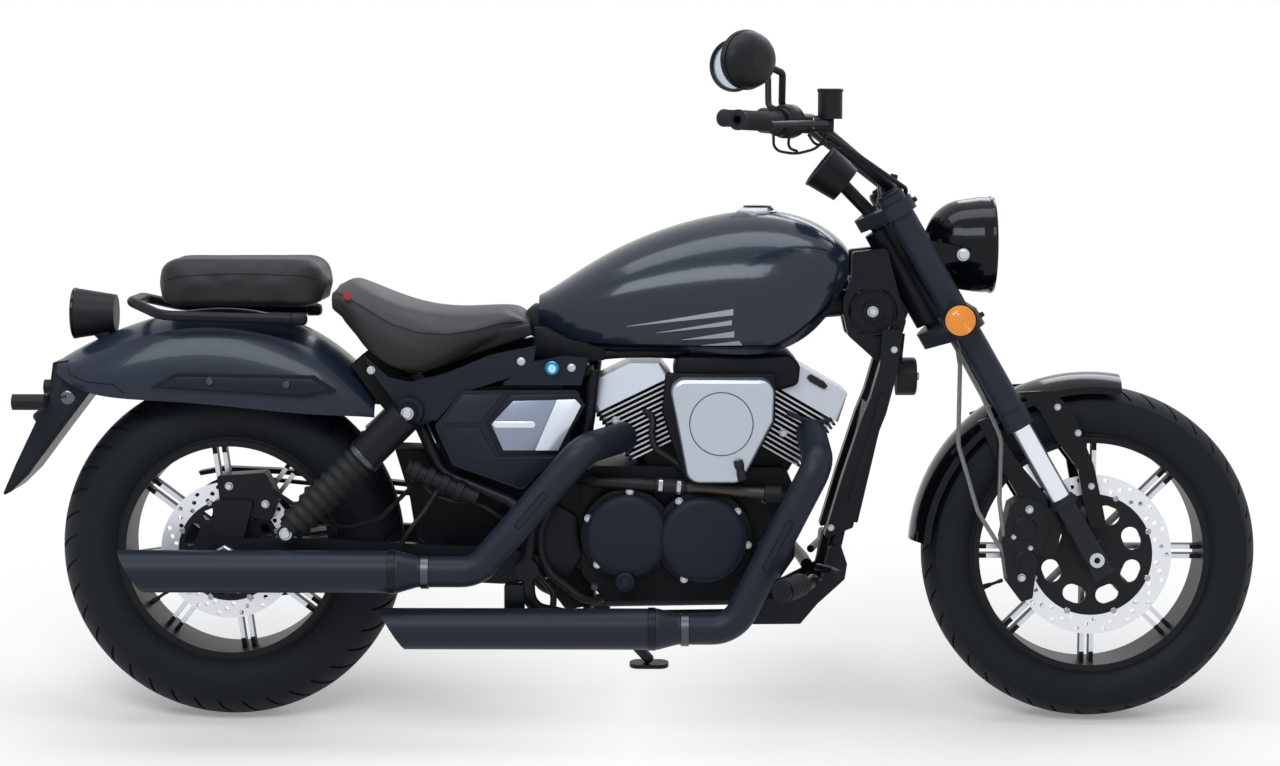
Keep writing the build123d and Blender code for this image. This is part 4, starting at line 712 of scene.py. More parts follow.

# ---- gauge ----
# A round instrument in a black cup, tilted to the rider: a dark dial with plain pale marks and a red needle,
# in a thin black ring.
GAUGE_FACE, GAUGE_TILT = Vector((0.286, 0, 0.987)), math.radians(38)
TO_RIDER = Vector((-math.cos(GAUGE_TILT), 0, math.sin(GAUGE_TILT)))
DIAL_MARKS, DIAL_SWEEP, MARKS_A_LONG_ONE = 25, 250, 4
LONG_MARK, SHORT_MARK, MARK_WIDTH, MARK_RADIUS, MARK_LEVEL = 0.006, 0.003, 0.0007, 0.034, 0.0016
NEEDLE_REACH, NEEDLE_TURN = 0.026, math.radians(-120)
coat_node("gauge", moulded_black)
turned("gauge_ring", [(0.0385, 0), (0.0425, 0), (0.0435, 0.003), (0.0425, 0.006), (0.0395, 0.0065), (0.0385, 0.004)],
       satin_black, "front_fork", GAUGE_FACE, TO_RIDER, steps=72, ends="joined")
turned("gauge_dial", [(0.0388, 0), (0.0388, 0.001), (0.020, 0.0012), (0.0190, 0.0006), (0.001, 0.0006)],
       finish("dial_black", (0.01, 0.011, 0.013), 0.5), "front_fork", GAUGE_FACE, TO_RIDER, steps=72)
dial_white = finish("dial_white", (0.75, 0.77, 0.78), 0.5)
dial_plane = aimed(GAUGE_FACE, TO_RIDER)
bpy.ops.object.select_all(action="DESELECT")
marks = []
for n in range(DIAL_MARKS):
    turn = math.radians(-DIAL_SWEEP / 2 + DIAL_SWEEP * n / (DIAL_MARKS - 1))
    length = LONG_MARK if n % MARKS_A_LONG_ONE == 0 else SHORT_MARK
    bpy.ops.mesh.primitive_plane_add(size=1, location=(0, 0, 0))
    mark = bpy.context.object
    mark.data.transform(Matrix.Rotation(turn, 4, "Z") @ Matrix.Translation((MARK_RADIUS - length / 2, 0, MARK_LEVEL))
                        @ Matrix.Diagonal((length, MARK_WIDTH, 1, 1)))
    marks.append(mark)
pick(marks[0])
for mark in marks:
    mark.select_set(True)
bpy.ops.object.join()
mount(bpy.context.object, "dial_marks", dial_white, "front_fork", dial_plane, smooth=0)
needle = lathe([(0.0024, 0.0022), (0.0024, 0.0030), (0.0008, 0.0034)], 20)
for vert in needle.data.vertices:
    if vert.co.x > 0.0020:
        vert.co.x += NEEDLE_REACH
mount(needle, "dial_needle", finish("needle_red", (0.5, 0.02, 0.012), 0.4), "front_fork",
      dial_plane @ Matrix.Rotation(NEEDLE_TURN, 4, "Z"))

# ---- frame ----
# A cradle of welded steel tube with boxed down members, all painted satin black. Pressed covers close its
# head on both sides, each held by a plated screw in a sunk round recess.
frame_black = finish("frame_black", (0.0052, 0.0064, 0.0092), 0.4, coat=0.03, shine=0.15)
coat_node("frame", frame_black)
for side in SIDES:
    screws(f"head_screw_{side + 2}", 0.0075, 0.008, (0, side, 0), [(0.373, side * 0.0625, 0.733)], zinc, "chassis")
    screws(f"down_screw_{side + 2}", 0.0045, 0.005, (0, side, 0),
           at_side(side * 0.092, (0.409, 0.668), (0.300, 0.352)), zinc, "chassis")
    turned(f"head_recess_rim_{side + 2}",
           [(0.0395, 0), (0.0395, 0.0028), (0.0415, 0.004), (0.0435, 0.0028), (0.0435, 0)],
           gloss_black, "chassis", (0.373, side * 0.061, 0.733), (0, side, 0), steps=56, ends="open")

# ---- radiator and horn ----
# An aluminium core between the down members, painted black, behind which the fan sits. The horn is a pressed
# steel drum with a ribbed face, hung under the head.
coat_node("radiator", finish("radiator_black", (0.006, 0.0065, 0.008), 0.5, grain=0.8, grain_scale=300))
turned("horn_face",
       [(0.0335, 0), (0.0335, 0.003), (0.030, 0.005), (0.027, 0.003), (0.023, 0.005), (0.019, 0.003), (0.012, 0.006),
        (0.006, 0.008)],
       satin_black, "chassis", (0.451, 0, 0.613), FORWARD)
rim_steel = finish("turned_steel", (0.36, 0.37, 0.40), 0.25, metal=1.0)
turned("horn_nut", [(0.007, 0), (0.007, 0.003), (0.004, 0.004)],
       rim_steel, "chassis", (0.458, 0, 0.613), FORWARD, steps=24)

# ---- crankcase ----
# Cast aluminium, painted matt black. Two round covers close it on the right, the front one on a wide flange,
# each with a shallow domed face and plated screws, and an oil filler plug sits under the rear one.
cast_black = finish("cast_black", (0.0036, 0.0042, 0.0056), 0.5, grain=0.7, grain_scale=1100, bump=0.0003, shine=0.14)
cover_black = finish("cover_black", (0.0098, 0.0140, 0.0225), 0.52, spread=0.08, grain=0.2, grain_scale=1600,
                     bump=0.0002, shine=0.15)
coat_node("engine_case", cast_black)
coat_node("engine_covers", cover_black)
CASE_FACE, FLANGE_FACE, REAR_FLANGE_FACE = 0.098, 0.1265, 0.1225
# Place of each round cover, its radius, its outer face and its side.
ROUND_COVERS = [((-0.061, 0.343), 0.072, 0.138, -1), ((0.074, 0.337), 0.075, 0.146, -1),
                ((-0.050, 0.330), 0.066, 0.132, 1), ((0.090, 0.322), 0.088, 0.146, 1)]
for n, ((x, z), radius, face, side) in enumerate(ROUND_COVERS):
    turned(f"cover_dome_{n + 1}",
           [(radius - 0.001, 0), (radius - 0.002, 0.0022), (radius - 0.005, 0.0045), (radius - 0.010, 0.006),
            (radius - 0.014, 0.0066), (radius * 0.5, 0.0078), (radius * 0.15, 0.0080)],
           cover_black, "chassis", (x, side * face, z), (0, side, 0), steps=96)
turned("cover_flange", [(0.0875, 0), (0.0875, 0.024), (0.0855, 0.0275), (0.083, 0.0285), (0.074, 0.0285)],
       cast_black, "chassis", (0.074, -CASE_FACE, 0.337), RIGHT, steps=96)
turned("rear_cover_flange", [(0.083, 0), (0.083, 0.020), (0.081, 0.0235), (0.079, 0.0245), (0.071, 0.0245)],
       cast_black, "chassis", (-0.061, -CASE_FACE, 0.343), RIGHT, steps=96)
screws("flange_screw", 0.0052, 0.008, RIGHT,
       at_side(-FLANGE_FACE, (0.031, 0.403), (0.133, 0.385), (0.152, 0.326), (0.040, 0.265)), zinc, "chassis")
screws("rear_flange_screw", 0.0052, 0.008, RIGHT,
       at_side(-REAR_FLANGE_FACE, (-0.056, 0.419), (-0.113, 0.290), (-0.129, 0.372)), zinc, "chassis")
dark_steel = finish("dark_steel", (0.075, 0.080, 0.090), 0.35, metal=1.0)
screws("case_screw", 0.0048, 0.006, RIGHT,
       at_side(-CASE_FACE, (-0.124, 0.436), (0.182, 0.402), (0.176, 0.322), (0.096, 0.446), (-0.118, 0.246),
               (0.160, 0.246), (0.205, 0.268)), dark_steel, "chassis")
turned("oil_plug", [(0.0165, 0), (0.0165, 0.004), (0.014, 0.006), (0.009, 0.006), (0.009, 0.014), (0.007, 0.016)],
       cover_black, "chassis", (-0.064, -0.148, 0.263), RIGHT, steps=32)
screws("left_case_screw", 0.005, 0.007, LEFT,
       at_side(CASE_FACE, (-0.106, 0.380), (-0.070, 0.405), (0.180, 0.372), (0.186, 0.292), (0.010, 0.402),
               (0.140, 0.412)), zinc, "chassis")

# ---- cylinders ----
# Two black barrels whose fins have their outer edges machined bright, under heads bolted down through them.
# Both are cast aluminium, and their edges are cut after they are painted.
edge_band, band_in, band_out = effect_group(
    "edge_band", {"Middle": (0, 0, 0), "Axle Line": (0, 0, 0), "Distance": 0.0}, ("Edge",))
band_place = node(edge_band, "TexCoord")
band_arm = node(edge_band, "VectorMath", "SUBTRACT")
band_along = node(edge_band, "VectorMath", "DOT_PRODUCT")
band_reach = node(edge_band, "Math", "ABSOLUTE")
band_test = node(edge_band, "Math", "GREATER_THAN")
join(edge_band, (band_place.outputs["Object"], band_arm.inputs[0]), (band_in.outputs["Middle"], band_arm.inputs[1]),
     (band_arm.outputs[0], band_along.inputs[0]), (band_in.outputs["Axle Line"], band_along.inputs[1]),
     (band_along.outputs["Value"], band_reach.inputs[0]), (band_reach.outputs[0], band_test.inputs[0]),
     (band_in.outputs["Distance"], band_test.inputs[1]), (band_test.outputs[0], band_out.inputs["Edge"]))


def edged(name, base, bright, middle, line, distance):
    """Black paint with bright machined edges, further than a distance from a plane through the middle."""
    paint = finish(name, base, 0.45, grain=0.4, shine=0.18)
    edges = place_group(paint, edge_band, Middle=middle, Axle_Line=line, Distance=distance)
    tint = blend_of_colours(paint.node_tree, (*base, 1), (*bright, 1))
    join(paint.node_tree, (edges.outputs["Edge"], tint.inputs["Factor"]),
         (tint.outputs["Result"], look_of(paint)["Base Color"]), (edges.outputs["Edge"], look_of(paint)["Metallic"]))
    return paint


BRIGHT_FROM = 0.0826
coat_node("cylinders", edged("fin_paint", (0.0030, 0.0035, 0.0048), (0.50, 0.53, 0.58), ONTO_STAND @ Vector((0, 0, 0)),
                             ACROSS, BRIGHT_FROM))
screws("barrel_screw", 0.0055, 0.009, RIGHT, at_side(-0.084, (-0.081, 0.541), (0.215, 0.520)), zinc, "chassis")

# ---- rocker covers ----
# Cast covers on the two heads, brushed and clear coated.
# The front one has a slot in its face for the breather.
brushed_cover = finish("brushed_cover", (0.50, 0.53, 0.58), 0.32, metal=0.60, coat=0.12, spread=0.08, grain=0.12,
                       grain_scale=1400, bump=0.0001)
coat_node("rocker_covers", brushed_cover)


def plate(outline, y_from, y_to, bevel=0.0, steps=2):
    """A flat piece cut to a side-view outline, between two distances from the machine's middle."""
    bpy.ops.object.select_all(action="DESELECT")
    bpy.ops.mesh.primitive_circle_add(vertices=len(outline), radius=0.01, fill_type="NGON")
    piece = bpy.context.object
    for corner, (x, z) in zip(piece.data.vertices, outline):
        corner.co = (x, y_from, z)
    bpy.ops.object.mode_set(mode="EDIT")
    bpy.ops.mesh.select_all(action="SELECT")
    bpy.ops.mesh.extrude_region_move(TRANSFORM_OT_translate={"value": (0, y_to - y_from, 0)})
    bpy.ops.mesh.select_all(action="SELECT")
    bpy.ops.mesh.normals_make_consistent(inside=False)
    bpy.ops.object.mode_set(mode="OBJECT")
    if bevel:
        edge = piece.modifiers.new("edge", "BEVEL")
        edge.width = bevel
        edge.segments = steps
        edge.limit_method = "ANGLE"
        bpy.ops.object.modifier_apply(modifier="edge")
    return piece


# The slot is a thin rubber-black plate on the cover's face, its darkness painted as the shade in the slot.
BREATHER_SLOT_SHADE = [(0.256, 0.619), (0.262, 0.611), (0.288, 0.597), (0.293, 0.603), (0.286, 0.611), (0.263, 0.624)]
mount(plate(BREATHER_SLOT_SHADE, -0.0855, -0.0785, 0.0012), "breather_slot_shade", seal_rubber, "chassis")

# ---- air cleaner ----
# A deep pressed cover with rounded edges, brushed bright, with a thin groove round its middle, on a black
# back plate. A rubber drain stub shows at its lower corner.
coat_node("air_cleaner", finish("brushed_cleaner", (0.46, 0.50, 0.56), 0.28, metal=0.75, coat=0.12, spread=0.06,
                                grain=0.10, grain_scale=1400, bump=0.0001))
turned("cleaner_groove", [(0.0540, 0), (0.0540, 0.0010), (0.0548, 0.0015), (0.0556, 0.0010), (0.0556, 0)],
       dark_steel, "chassis", (0.103, -0.1778, 0.545), RIGHT, steps=96, ends="open")
turned("cleaner_drain",
       [(0.0075, 0), (0.0085, 0.002), (0.0085, 0.012), (0.0072, 0.014), (0.0072, 0.020), (0.0085, 0.022),
        (0.0085, 0.034), (0.006, 0.036)],
       seal_rubber, "chassis", (0.132, -0.1835, 0.482), (0.25, -0.05, -0.97), steps=24)
CLEANER_BACK = [(0.006, 0.629), (0.200, 0.629), (0.199, 0.545), (0.143, 0.434), (0.041, 0.434), (0.0, 0.560)]
mount(plate(CLEANER_BACK, -0.122, -0.112, 0.006, 3), "cleaner_back", cast_black, "chassis")

# ---- intake and coolant pipe ----
# The coolant leaves the rear cylinder by a rubber hose, passes under the air cleaner in a painted metal pipe
# and ends in a cast elbow. Worm drive clips hold the hose on the pipe.
coat_node("intake_pipes", finish("pipe_black", (0.007, 0.0072, 0.0075), 0.42, shine=0.2))
pipe_metal = finish("pipe_metal", (0.055, 0.053, 0.050), 0.34, metal=0.8)
clip_steel = finish("clip_steel", (0.44, 0.46, 0.50), 0.22, metal=1.0)
hose_rubber = finish("hose_rubber", (0.009, 0.0092, 0.0095), 0.55, grain=0.2)
PIPE_SIDE = -0.124


def sleeve(radius, length, steps=40, wall=0.0012):
    """A short tube with rounded mouths, made along +Z from the floor of its own space."""
    return lathe([(radius - wall, 0), (radius, wall), (radius, length - wall), (radius - wall, length),
                  (radius - 2 * wall, length)], steps, ends="open")


pipe_line = Vector((0.166, 0, -0.012)).normalized()
pipe_start = Vector((0.030, PIPE_SIDE, 0.428))
for name, radius, length, along, paint in (("coolant_pipe_cover", 0.0116, 0.138, 0.014, pipe_metal),
                                           ("coolant_elbow_neck", 0.0155, 0.030, 0.150, hose_rubber),
                                           ("coolant_joint", 0.0138, 0.052, -0.042, hose_rubber)):
    mount(sleeve(radius, length), name, paint, "chassis", aimed(pipe_start + pipe_line * along, pipe_line))
for n, along in enumerate((-0.036, -0.004)):
    mount(sleeve(0.0146, 0.008, wall=0.0006), f"coolant_clip_{n + 1}", clip_steel, "chassis",
          aimed(pipe_start + pipe_line * along, pipe_line))
    screws(f"coolant_clip_screw_{n + 1}", 0.003, 0.006, RIGHT,
           [pipe_start + pipe_line * (along + 0.004) + Vector((0, -0.013, 0.004))], clip_steel, "chassis")
tube([(-0.030, -0.080, 0.558), (-0.016, -0.094, 0.545), (-0.017, -0.100, 0.520), (-0.010, -0.104, 0.494),
      (0.014, -0.106, 0.477), (0.034, -0.108, 0.462), (0.044, -0.112, 0.440)], 0.0062, "crossover_hose", hose_rubber,
     "chassis")
AIR_BOX = [(0.020, 0.618), (0.026, 0.657), (0.226, 0.660), (0.244, 0.640), (0.240, 0.606), (0.205, 0.596),
           (0.040, 0.600)]
mount(plate(AIR_BOX, -0.104, 0.080, 0.008, 3), "air_box", cast_black, "chassis")
tube([(-0.150, -0.066, 0.652), (-0.100, -0.070, 0.660), (-0.030, -0.070, 0.663), (0.050, -0.066, 0.660)], 0.0120,
     "under_tank_tube", frame_black, "chassis")
TANK_MOUNT = [(-0.226, 0.655), (-0.226, 0.706), (-0.205, 0.706), (-0.160, 0.684), (-0.100, 0.674), (-0.100, 0.648),
              (-0.160, 0.640)]
mount(plate(TANK_MOUNT, -0.088, 0.088, 0.003), "tank_mount", cast_black, "chassis")
tube([(0.310, -0.072, 0.552), (0.284, -0.092, 0.540), (0.250, -0.094, 0.545), (0.222, -0.088, 0.556)], 0.0045,
     "front_vent_hose", hose_rubber, "chassis")

# ---- exhausts ----
# Steel header pipes under satin black shields, each with a long slot, run into two black silencers cut at a
# slant at the back. A steel band clamps each silencer's neck, and studs hold the flanges at the heads.
exhaust_black = finish("exhaust_black", (0.0125, 0.0165, 0.0250), 0.42, spread=0.1, grain=0.15, shine=0.18)
# Near-black for the dark joint behind the fender's cap, and painted shade on the slot floors, behind the side covers
# and across the fender's front.
shade_and_joint_black = finish("shade_and_joint_black", (0.002, 0.002, 0.002), 0.8)
coat_node("exhaust_headers", exhaust_black)
coat_node("silencers", exhaust_black)
EXHAUST_SIDE, SHIELD_FACE = -0.190, -0.2145
SLOT_RADIUS, SLOT_EDGE, SLOT_DEPTH = 0.0060, 0.0012, 0.0008
BACKWARD = Vector((-1, 0, 0))
SLOTS = [((-0.204, 0.424), (-0.248, 0.373)), ((0.220, 0.376), (0.180, 0.298))]
# Each slot is a shallow dent whose floor is painted near-black, as the shade inside the open slot.
for n, ((high_x, high_z), (low_x, low_z)) in enumerate(SLOTS):
    run = Vector((high_x - low_x, 0, high_z - low_z))
    half_slot = run.length / 2
    middle = Vector(((high_x + low_x) / 2, SHIELD_FACE, (high_z + low_z) / 2))
    bpy.ops.object.select_all(action="DESELECT")
    bpy.ops.mesh.primitive_circle_add(vertices=32, radius=SLOT_RADIUS, fill_type="NGON")
    slot_shade_floor = bpy.context.object
    for corner in slot_shade_floor.data.vertices:
        corner.co.y += half_slot if corner.co.y > 0 else -half_slot
    bpy.ops.object.mode_set(mode="EDIT")
    bpy.ops.mesh.select_all(action="SELECT")
    bpy.ops.mesh.inset(thickness=SLOT_EDGE, depth=-SLOT_DEPTH)
    bpy.ops.object.mode_set(mode="OBJECT")
    run.normalize()
    stand_up = Matrix((Vector((run.z, 0, -run.x)), run, Vector((0, -1, 0)))).transposed().to_4x4()
    mount(slot_shade_floor, f"shield_slot_shade_{n + 1}", shade_and_joint_black, "chassis", Matrix.Translation(middle) @ stand_up)
for n, (x, z, radius) in enumerate(((-0.462, 0.287, 0.037), (-0.010, 0.187, 0.036))):
    turned(f"silencer_band_{n + 1}",
           [(radius + 0.0003, 0), (radius + 0.0016, 0.0008), (radius + 0.0016, 0.0132), (radius + 0.0003, 0.014)],
           satin_black, "chassis", (x, EXHAUST_SIDE, z), BACKWARD, steps=96, ends="open")
    turned(f"neck_clamp_{n + 1}", [(0.0274, 0), (0.0298, 0.001), (0.0298, 0.014), (0.0274, 0.015)],
           dark_steel, "chassis", (x + 0.058, EXHAUST_SIDE, z), BACKWARD, steps=64, ends="open")
for n, (x, z) in enumerate(((-0.093, 0.498), (-0.078, 0.528), (0.290, 0.500), (0.276, 0.530))):
    turned(f"flange_nut_{n + 1}", [(0.0055, 0), (0.0055, 0.004), (0.0032, 0.004), (0.0032, 0.014), (0.0026, 0.015)],
           rim_steel, "chassis", (x, -0.090, z), RIGHT, steps=6, smooth=0)

# ---- foot controls ----
# Forged arms carry rubber covered pegs on both sides, with a shaft pedal in front of each. The rubbers are
# moulded with ribs and pushed onto the pegs.
coat_node("foot_controls", satin_black)
PEG_RIBS, PEG_RIB_PITCH = 9, 0.0108
for side in SIDES:
    peg_from = Vector((0.240, side * 0.226, 0.272))
    peg_to = Vector((0.202, side * 0.332, 0.276))
    peg_line = (peg_to - peg_from).normalized()
    ribs = []
    for n in range(PEG_RIBS):
        start = 0.006 + n * PEG_RIB_PITCH
        ribs += [(0.0175, start), (0.0203, start + 0.0012), (0.0203, start + 0.0066), (0.0175, start + 0.0078)]
    turned(f"peg_rubber_{side + 2}", ribs, seal_rubber, "chassis", peg_from, peg_line, steps=40, ends="open")

# ---- swingarm and rear brake ----
# Pressed steel arms painted satin black, with a steel axle through their ends. The rear calliper and its
# bracket are black castings.
coat_node("swingarm", satin_black)
coat_node("rear_axle", zinc)
screws("rear_calliper_screw", 0.0055, 0.008, RIGHT, at_side(-0.094, (-0.764, 0.424), (-0.700, 0.392)), zinc, "chassis")
for side in SIDES:
    turned(f"rear_axle_nut_{side + 2}", [(0.0185, 0), (0.0185, 0.012), (0.016, 0.0145), (0.0145, 0.0145)],
           zinc, "chassis", REAR_AXLE + Vector((0, side * 0.128, 0)), (0, side, 0), steps=6, ends="open", smooth=0)

# ---- behind the crankcase ----
# An inner guard of black plastic before the rear tyre, steel pivot plates welded to the cradle, the rear
# brake's cast cylinder with its clamps, and the rubber hoses that run down behind the crankcase.
INNER_GUARD = [(-0.474, 0.486), (-0.448, 0.400), (-0.437, 0.330), (-0.400, 0.300), (-0.260, 0.300), (-0.240, 0.420),
               (-0.395, 0.484)]
mount(plate(INNER_GUARD, -0.058, 0.058, 0.004), "inner_guard", cast_black, "chassis")
PIVOT_PLATE = [(-0.272, 0.372), (-0.193, 0.398), (-0.150, 0.372), (-0.141, 0.302), (-0.167, 0.258), (-0.290, 0.270)]
mount(plate(PIVOT_PLATE, -0.098, -0.088, 0.003), "pivot_plate", satin_black, "chassis")
CASE_BACK = [(-0.206, 0.386), (-0.130, 0.377), (-0.122, 0.315), (-0.150, 0.300), (-0.150, 0.276), (-0.124, 0.262),
             (-0.116, 0.206), (-0.170, 0.197), (-0.197, 0.233), (-0.215, 0.278)]
mount(plate(CASE_BACK, -0.055, 0.055, 0.003), "case_back", cast_black, "chassis")
SILENCER_LUG = [(-0.276, 0.258), (-0.240, 0.258), (-0.240, 0.212), (-0.276, 0.212)]
mount(plate(SILENCER_LUG, -0.150, -0.120, 0.004), "silencer_lug", satin_black, "chassis")
brake_start, brake_end = Vector((-0.448, -0.128, 0.463)), Vector((-0.316, -0.128, 0.404))
brake_body = [(0.0120, 0.0), (0.0150, 0.002)]
for start in (0.010, 0.038, 0.066, 0.094):
    brake_body += [(0.0150, start), (0.0190, start + 0.001), (0.0190, start + 0.013), (0.0150, start + 0.014)]
turned("rear_brake_cylinder", brake_body + [(0.0150, 0.136), (0.0100, 0.140)], calliper_black, "chassis", brake_start,
       brake_end - brake_start, steps=32)
HOSES = [
    ("drain_hose", 0.0075, [(-0.190, -0.084, 0.390), (-0.201, -0.110, 0.380), (-0.214, -0.116, 0.337),
                            (-0.202, -0.118, 0.284), (-0.167, -0.116, 0.249), (-0.128, -0.112, 0.224),
                            (-0.104, -0.092, 0.226)]),
    ("second_drain_hose", 0.0060, [(-0.211, -0.114, 0.366), (-0.228, -0.112, 0.352), (-0.232, -0.114, 0.316),
                                   (-0.216, -0.116, 0.270), (-0.192, -0.117, 0.238), (-0.191, -0.118, 0.210)]),
    ("brake_feed_hose", 0.0040, [(-0.420, -0.130, 0.452), (-0.412, -0.128, 0.425), (-0.375, -0.124, 0.405),
                                 (-0.320, -0.120, 0.395), (-0.285, -0.116, 0.374), (-0.262, -0.094, 0.360)]),
    ("brake_rod_hose", 0.0042, [(-0.385, -0.132, 0.435), (-0.410, -0.136, 0.395), (-0.450, -0.140, 0.340),
                                (-0.458, -0.125, 0.321)]),
]
for name, radius, route in HOSES:
    tube(route, radius, name, hose_rubber, "chassis")

# ---- shock absorbers ----
# A plain painted cover over the spring at the top, and a ribbed rubber boot over the rod below it. Each is
# held at both ends by a plated screw.
coat_node("shocks", satin_black)
SHOCK_SIDE, SHOCK_SCREW_SIDE, BOOT_FOLDS, BOOT_PITCH = 0.156, 0.1762, 9, 0.0185
for side in SIDES:
    low = Vector((-0.655, side * SHOCK_SIDE, 0.351))
    high = Vector((-0.442, side * SHOCK_SIDE, 0.562))
    line = (high - low).normalized()
    reach = (high - low).length
    boot = []
    for n in range(BOOT_FOLDS):
        start = reach * 0.06 + n * BOOT_PITCH
        boot += [(0.0252, start), (0.0300, start + 0.0055), (0.0305, start + 0.0085), (0.0252, start + 0.0150)]
    turned(f"shock_boot_{side + 2}", boot, seal_rubber, "chassis", low, line, steps=56, ends="open", smooth=50)
    mount(sleeve(0.0322, 0.010, 56), f"shock_collar_{side + 2}", dark_steel, "chassis",
          aimed(low + line * reach * 0.615, line))
    screws(f"shock_screw_{side + 2}", 0.0085, 0.009, (0, side, 0),
           [(end.x, side * SHOCK_SCREW_SIDE, end.z) for end in (high, low)], zinc, "chassis")

# ---- belt drive ----
# A toothed rubber belt on two black anodised pulleys, on the left. The rear pulley is held to the hub by five
# plated screws.
coat_node("drive_belt", finish("belt_rubber", (0.009, 0.009, 0.009), 0.6, grain=0.5, grain_scale=500))
coat_node("rear_pulley", satin_black)
PULLEY_SCREWS, PULLEY_SCREW_RADIUS, PULLEY_FACE = 5, 0.045, 0.0705
pulley_turns = [2 * math.pi * (n + 0.5) / PULLEY_SCREWS for n in range(PULLEY_SCREWS)]
screws("pulley_screw", 0.005, 0.006, LEFT,
       [REAR_AXLE + Vector((math.cos(turn) * PULLEY_SCREW_RADIUS, PULLEY_FACE, math.sin(turn) * PULLEY_SCREW_RADIUS))
        for turn in pulley_turns], zinc, "rear_wheel")

# ---- side stand ----
# A bent steel leg, painted black, with a flat foot at its end. It turns on a bolt in a lug under the
# frame.
coat_node("side_stand", satin_black)

# ---- fuel tank ----
# A pressed and seam welded steel tank in deep gloss blue-black. Its lower edge is rolled into a lip, and each
# side carries four silver stripes that taper to the rear, under the lacquer.
tank_gloss = finish("tank_gloss", (0.0120, 0.0180, 0.0300), 0.22, coat=0.40, spread=0.03, shine=0.16)
look_of(tank_gloss)["Coat Roughness"].default_value = 0.10
coat_node("fuel_tank", tank_gloss)
SHELL_REACH, UNMOVED = 0.19, 1e-5


def trim_off(piece, start):
    """Cut away the part of a pressed sheet that met nothing, and still lies where it started."""
    bpy.ops.object.mode_set(mode="EDIT")
    bpy.ops.mesh.select_mode(type="VERT")
    bpy.ops.mesh.select_all(action="DESELECT")
    bpy.ops.object.mode_set(mode="OBJECT")
    for corner in piece.data.vertices:
        corner.select = abs(corner.co.y - start) < UNMOVED
    bpy.ops.object.mode_set(mode="EDIT")
    bpy.ops.mesh.delete(type="VERT")
    bpy.ops.mesh.select_mode(type="FACE")
    bpy.ops.object.mode_set(mode="OBJECT")


def laid_on(piece, target, offset, thickness, reach=SHELL_REACH, both_ways=True, soft=False):
    """Press a thin upright sheet flat onto a shell from its side, and give it a thickness."""
    start = piece.data.vertices[0].co.y
    piece.matrix_world = ONTO_STAND
    press = piece.modifiers.new("press", "SHRINKWRAP")
    press.target = target
    press.wrap_method = "PROJECT"
    press.use_project_y = True
    press.use_positive_direction = both_ways or start < 0
    press.use_negative_direction = both_ways or start > 0
    press.project_limit = reach
    press.offset = offset
    pick(piece)
    bpy.ops.object.modifier_apply(modifier="press")
    trim_off(piece, start)
    build = piece.modifiers.new("build", "SOLIDIFY")
    build.thickness = thickness
    build.offset = 0
    bpy.ops.object.modifier_apply(modifier="build")
    if soft:
        soften = piece.modifiers.new("soften", "SUBSURF")
        soften.levels = soften.render_levels = 1
        bpy.ops.object.modifier_apply(modifier="soften")
    piece.matrix_world = Matrix.Identity(4)
    return piece


def band_sheet(top, bottom, y, columns, rows=2):
    """A flat sheet between an upper and a lower line of the side view, each a list of x and z."""
    bpy.ops.object.select_all(action="DESELECT")
    bpy.ops.mesh.primitive_grid_add(x_subdivisions=columns, y_subdivisions=rows, size=2)
    piece = bpy.context.object

    def on_line(line, share):
        spot = share * (len(line) - 1)
        n = min(int(spot), len(line) - 2)
        rest = spot - n
        return [a + (b - a) * rest for a, b in zip(line[n], line[n + 1])]

    for corner in piece.data.vertices:
        across, up = (corner.co.x + 1) / 2, (corner.co.y + 1) / 2
        low, high = on_line(bottom, across), on_line(top, across)
        corner.co = (low[0] + (high[0] - low[0]) * up, y, low[1] + (high[1] - low[1]) * up)
    return piece


def shifted(line, *shifts):
    """The same line of the side view once for each shift up or down."""
    return [[(x, z + shift) for x, z in line] for shift in shifts]


# The stripes from the top one down: x and z of the front end's upper and lower corners, and of the rear tip.
STRIPES = [((0.1236, 0.7434), (0.1236, 0.7324), (-0.0623, 0.7105)),
           ((0.1213, 0.7236), (0.1213, 0.7149), (-0.0098, 0.6997)),
           ((0.1257, 0.7041), (0.1257, 0.6930), (0.0339, 0.6875)),
           ((0.1345, 0.6866), (0.1406, 0.6785), (0.0689, 0.6779))]
TANK_CLEAR, TIP_WIDTH = 0.20, 0.0007
stripe_silver = finish("stripe_silver", (0.30, 0.32, 0.35), 0.35, metal=0.6, coat=0.3, grain=0.2, grain_scale=2500)
for side in SIDES:
    for n, (upper, lower, tip) in enumerate(STRIPES):
        tip_low = (tip[0], tip[1] - TIP_WIDTH)
        stripe = band_sheet([tip, upper], [tip_low, lower], side * TANK_CLEAR, 40)
        mount(laid_on(stripe, frame["nodes"]["fuel_tank"], 0.0005, 0.0003), f"tank_stripe_{side + 2}_{n + 1}",
              stripe_silver, "chassis", smooth=60)
SEAM = [(-0.140, 0.6775), (-0.080, 0.6740), (0.060, 0.6725), (0.196, 0.6745), (0.232, 0.6945),
        (0.262, 0.7190), (0.286, 0.7420), (0.304, 0.7700)]
for side in SIDES:
    seam = band_sheet(*shifted(SEAM, 0.0030, -0.0015), side * TANK_CLEAR, 72)
    mount(laid_on(seam, frame["nodes"]["fuel_tank"], 0.0012, 0.0030), f"tank_seam_{side + 2}", gloss_black,
          "chassis", smooth=60)
coat_node("fuel_cap", polished_steel)
turned("cap_ring", [(0.0375, -0.002), (0.0375, 0.0015), (0.0355, 0.003), (0.034, 0.003)],
       rim_steel, "chassis", (0.170, 0, 0.9065), (0, 0, 1), steps=64, ends="open")
turned("cap_grip", [(0.0255, 0), (0.0255, 0.002), (0.0235, 0.0035), (0.010, 0.0042)],
       gloss_black, "chassis", (0.170, 0, 0.915), (0, 0, 1))
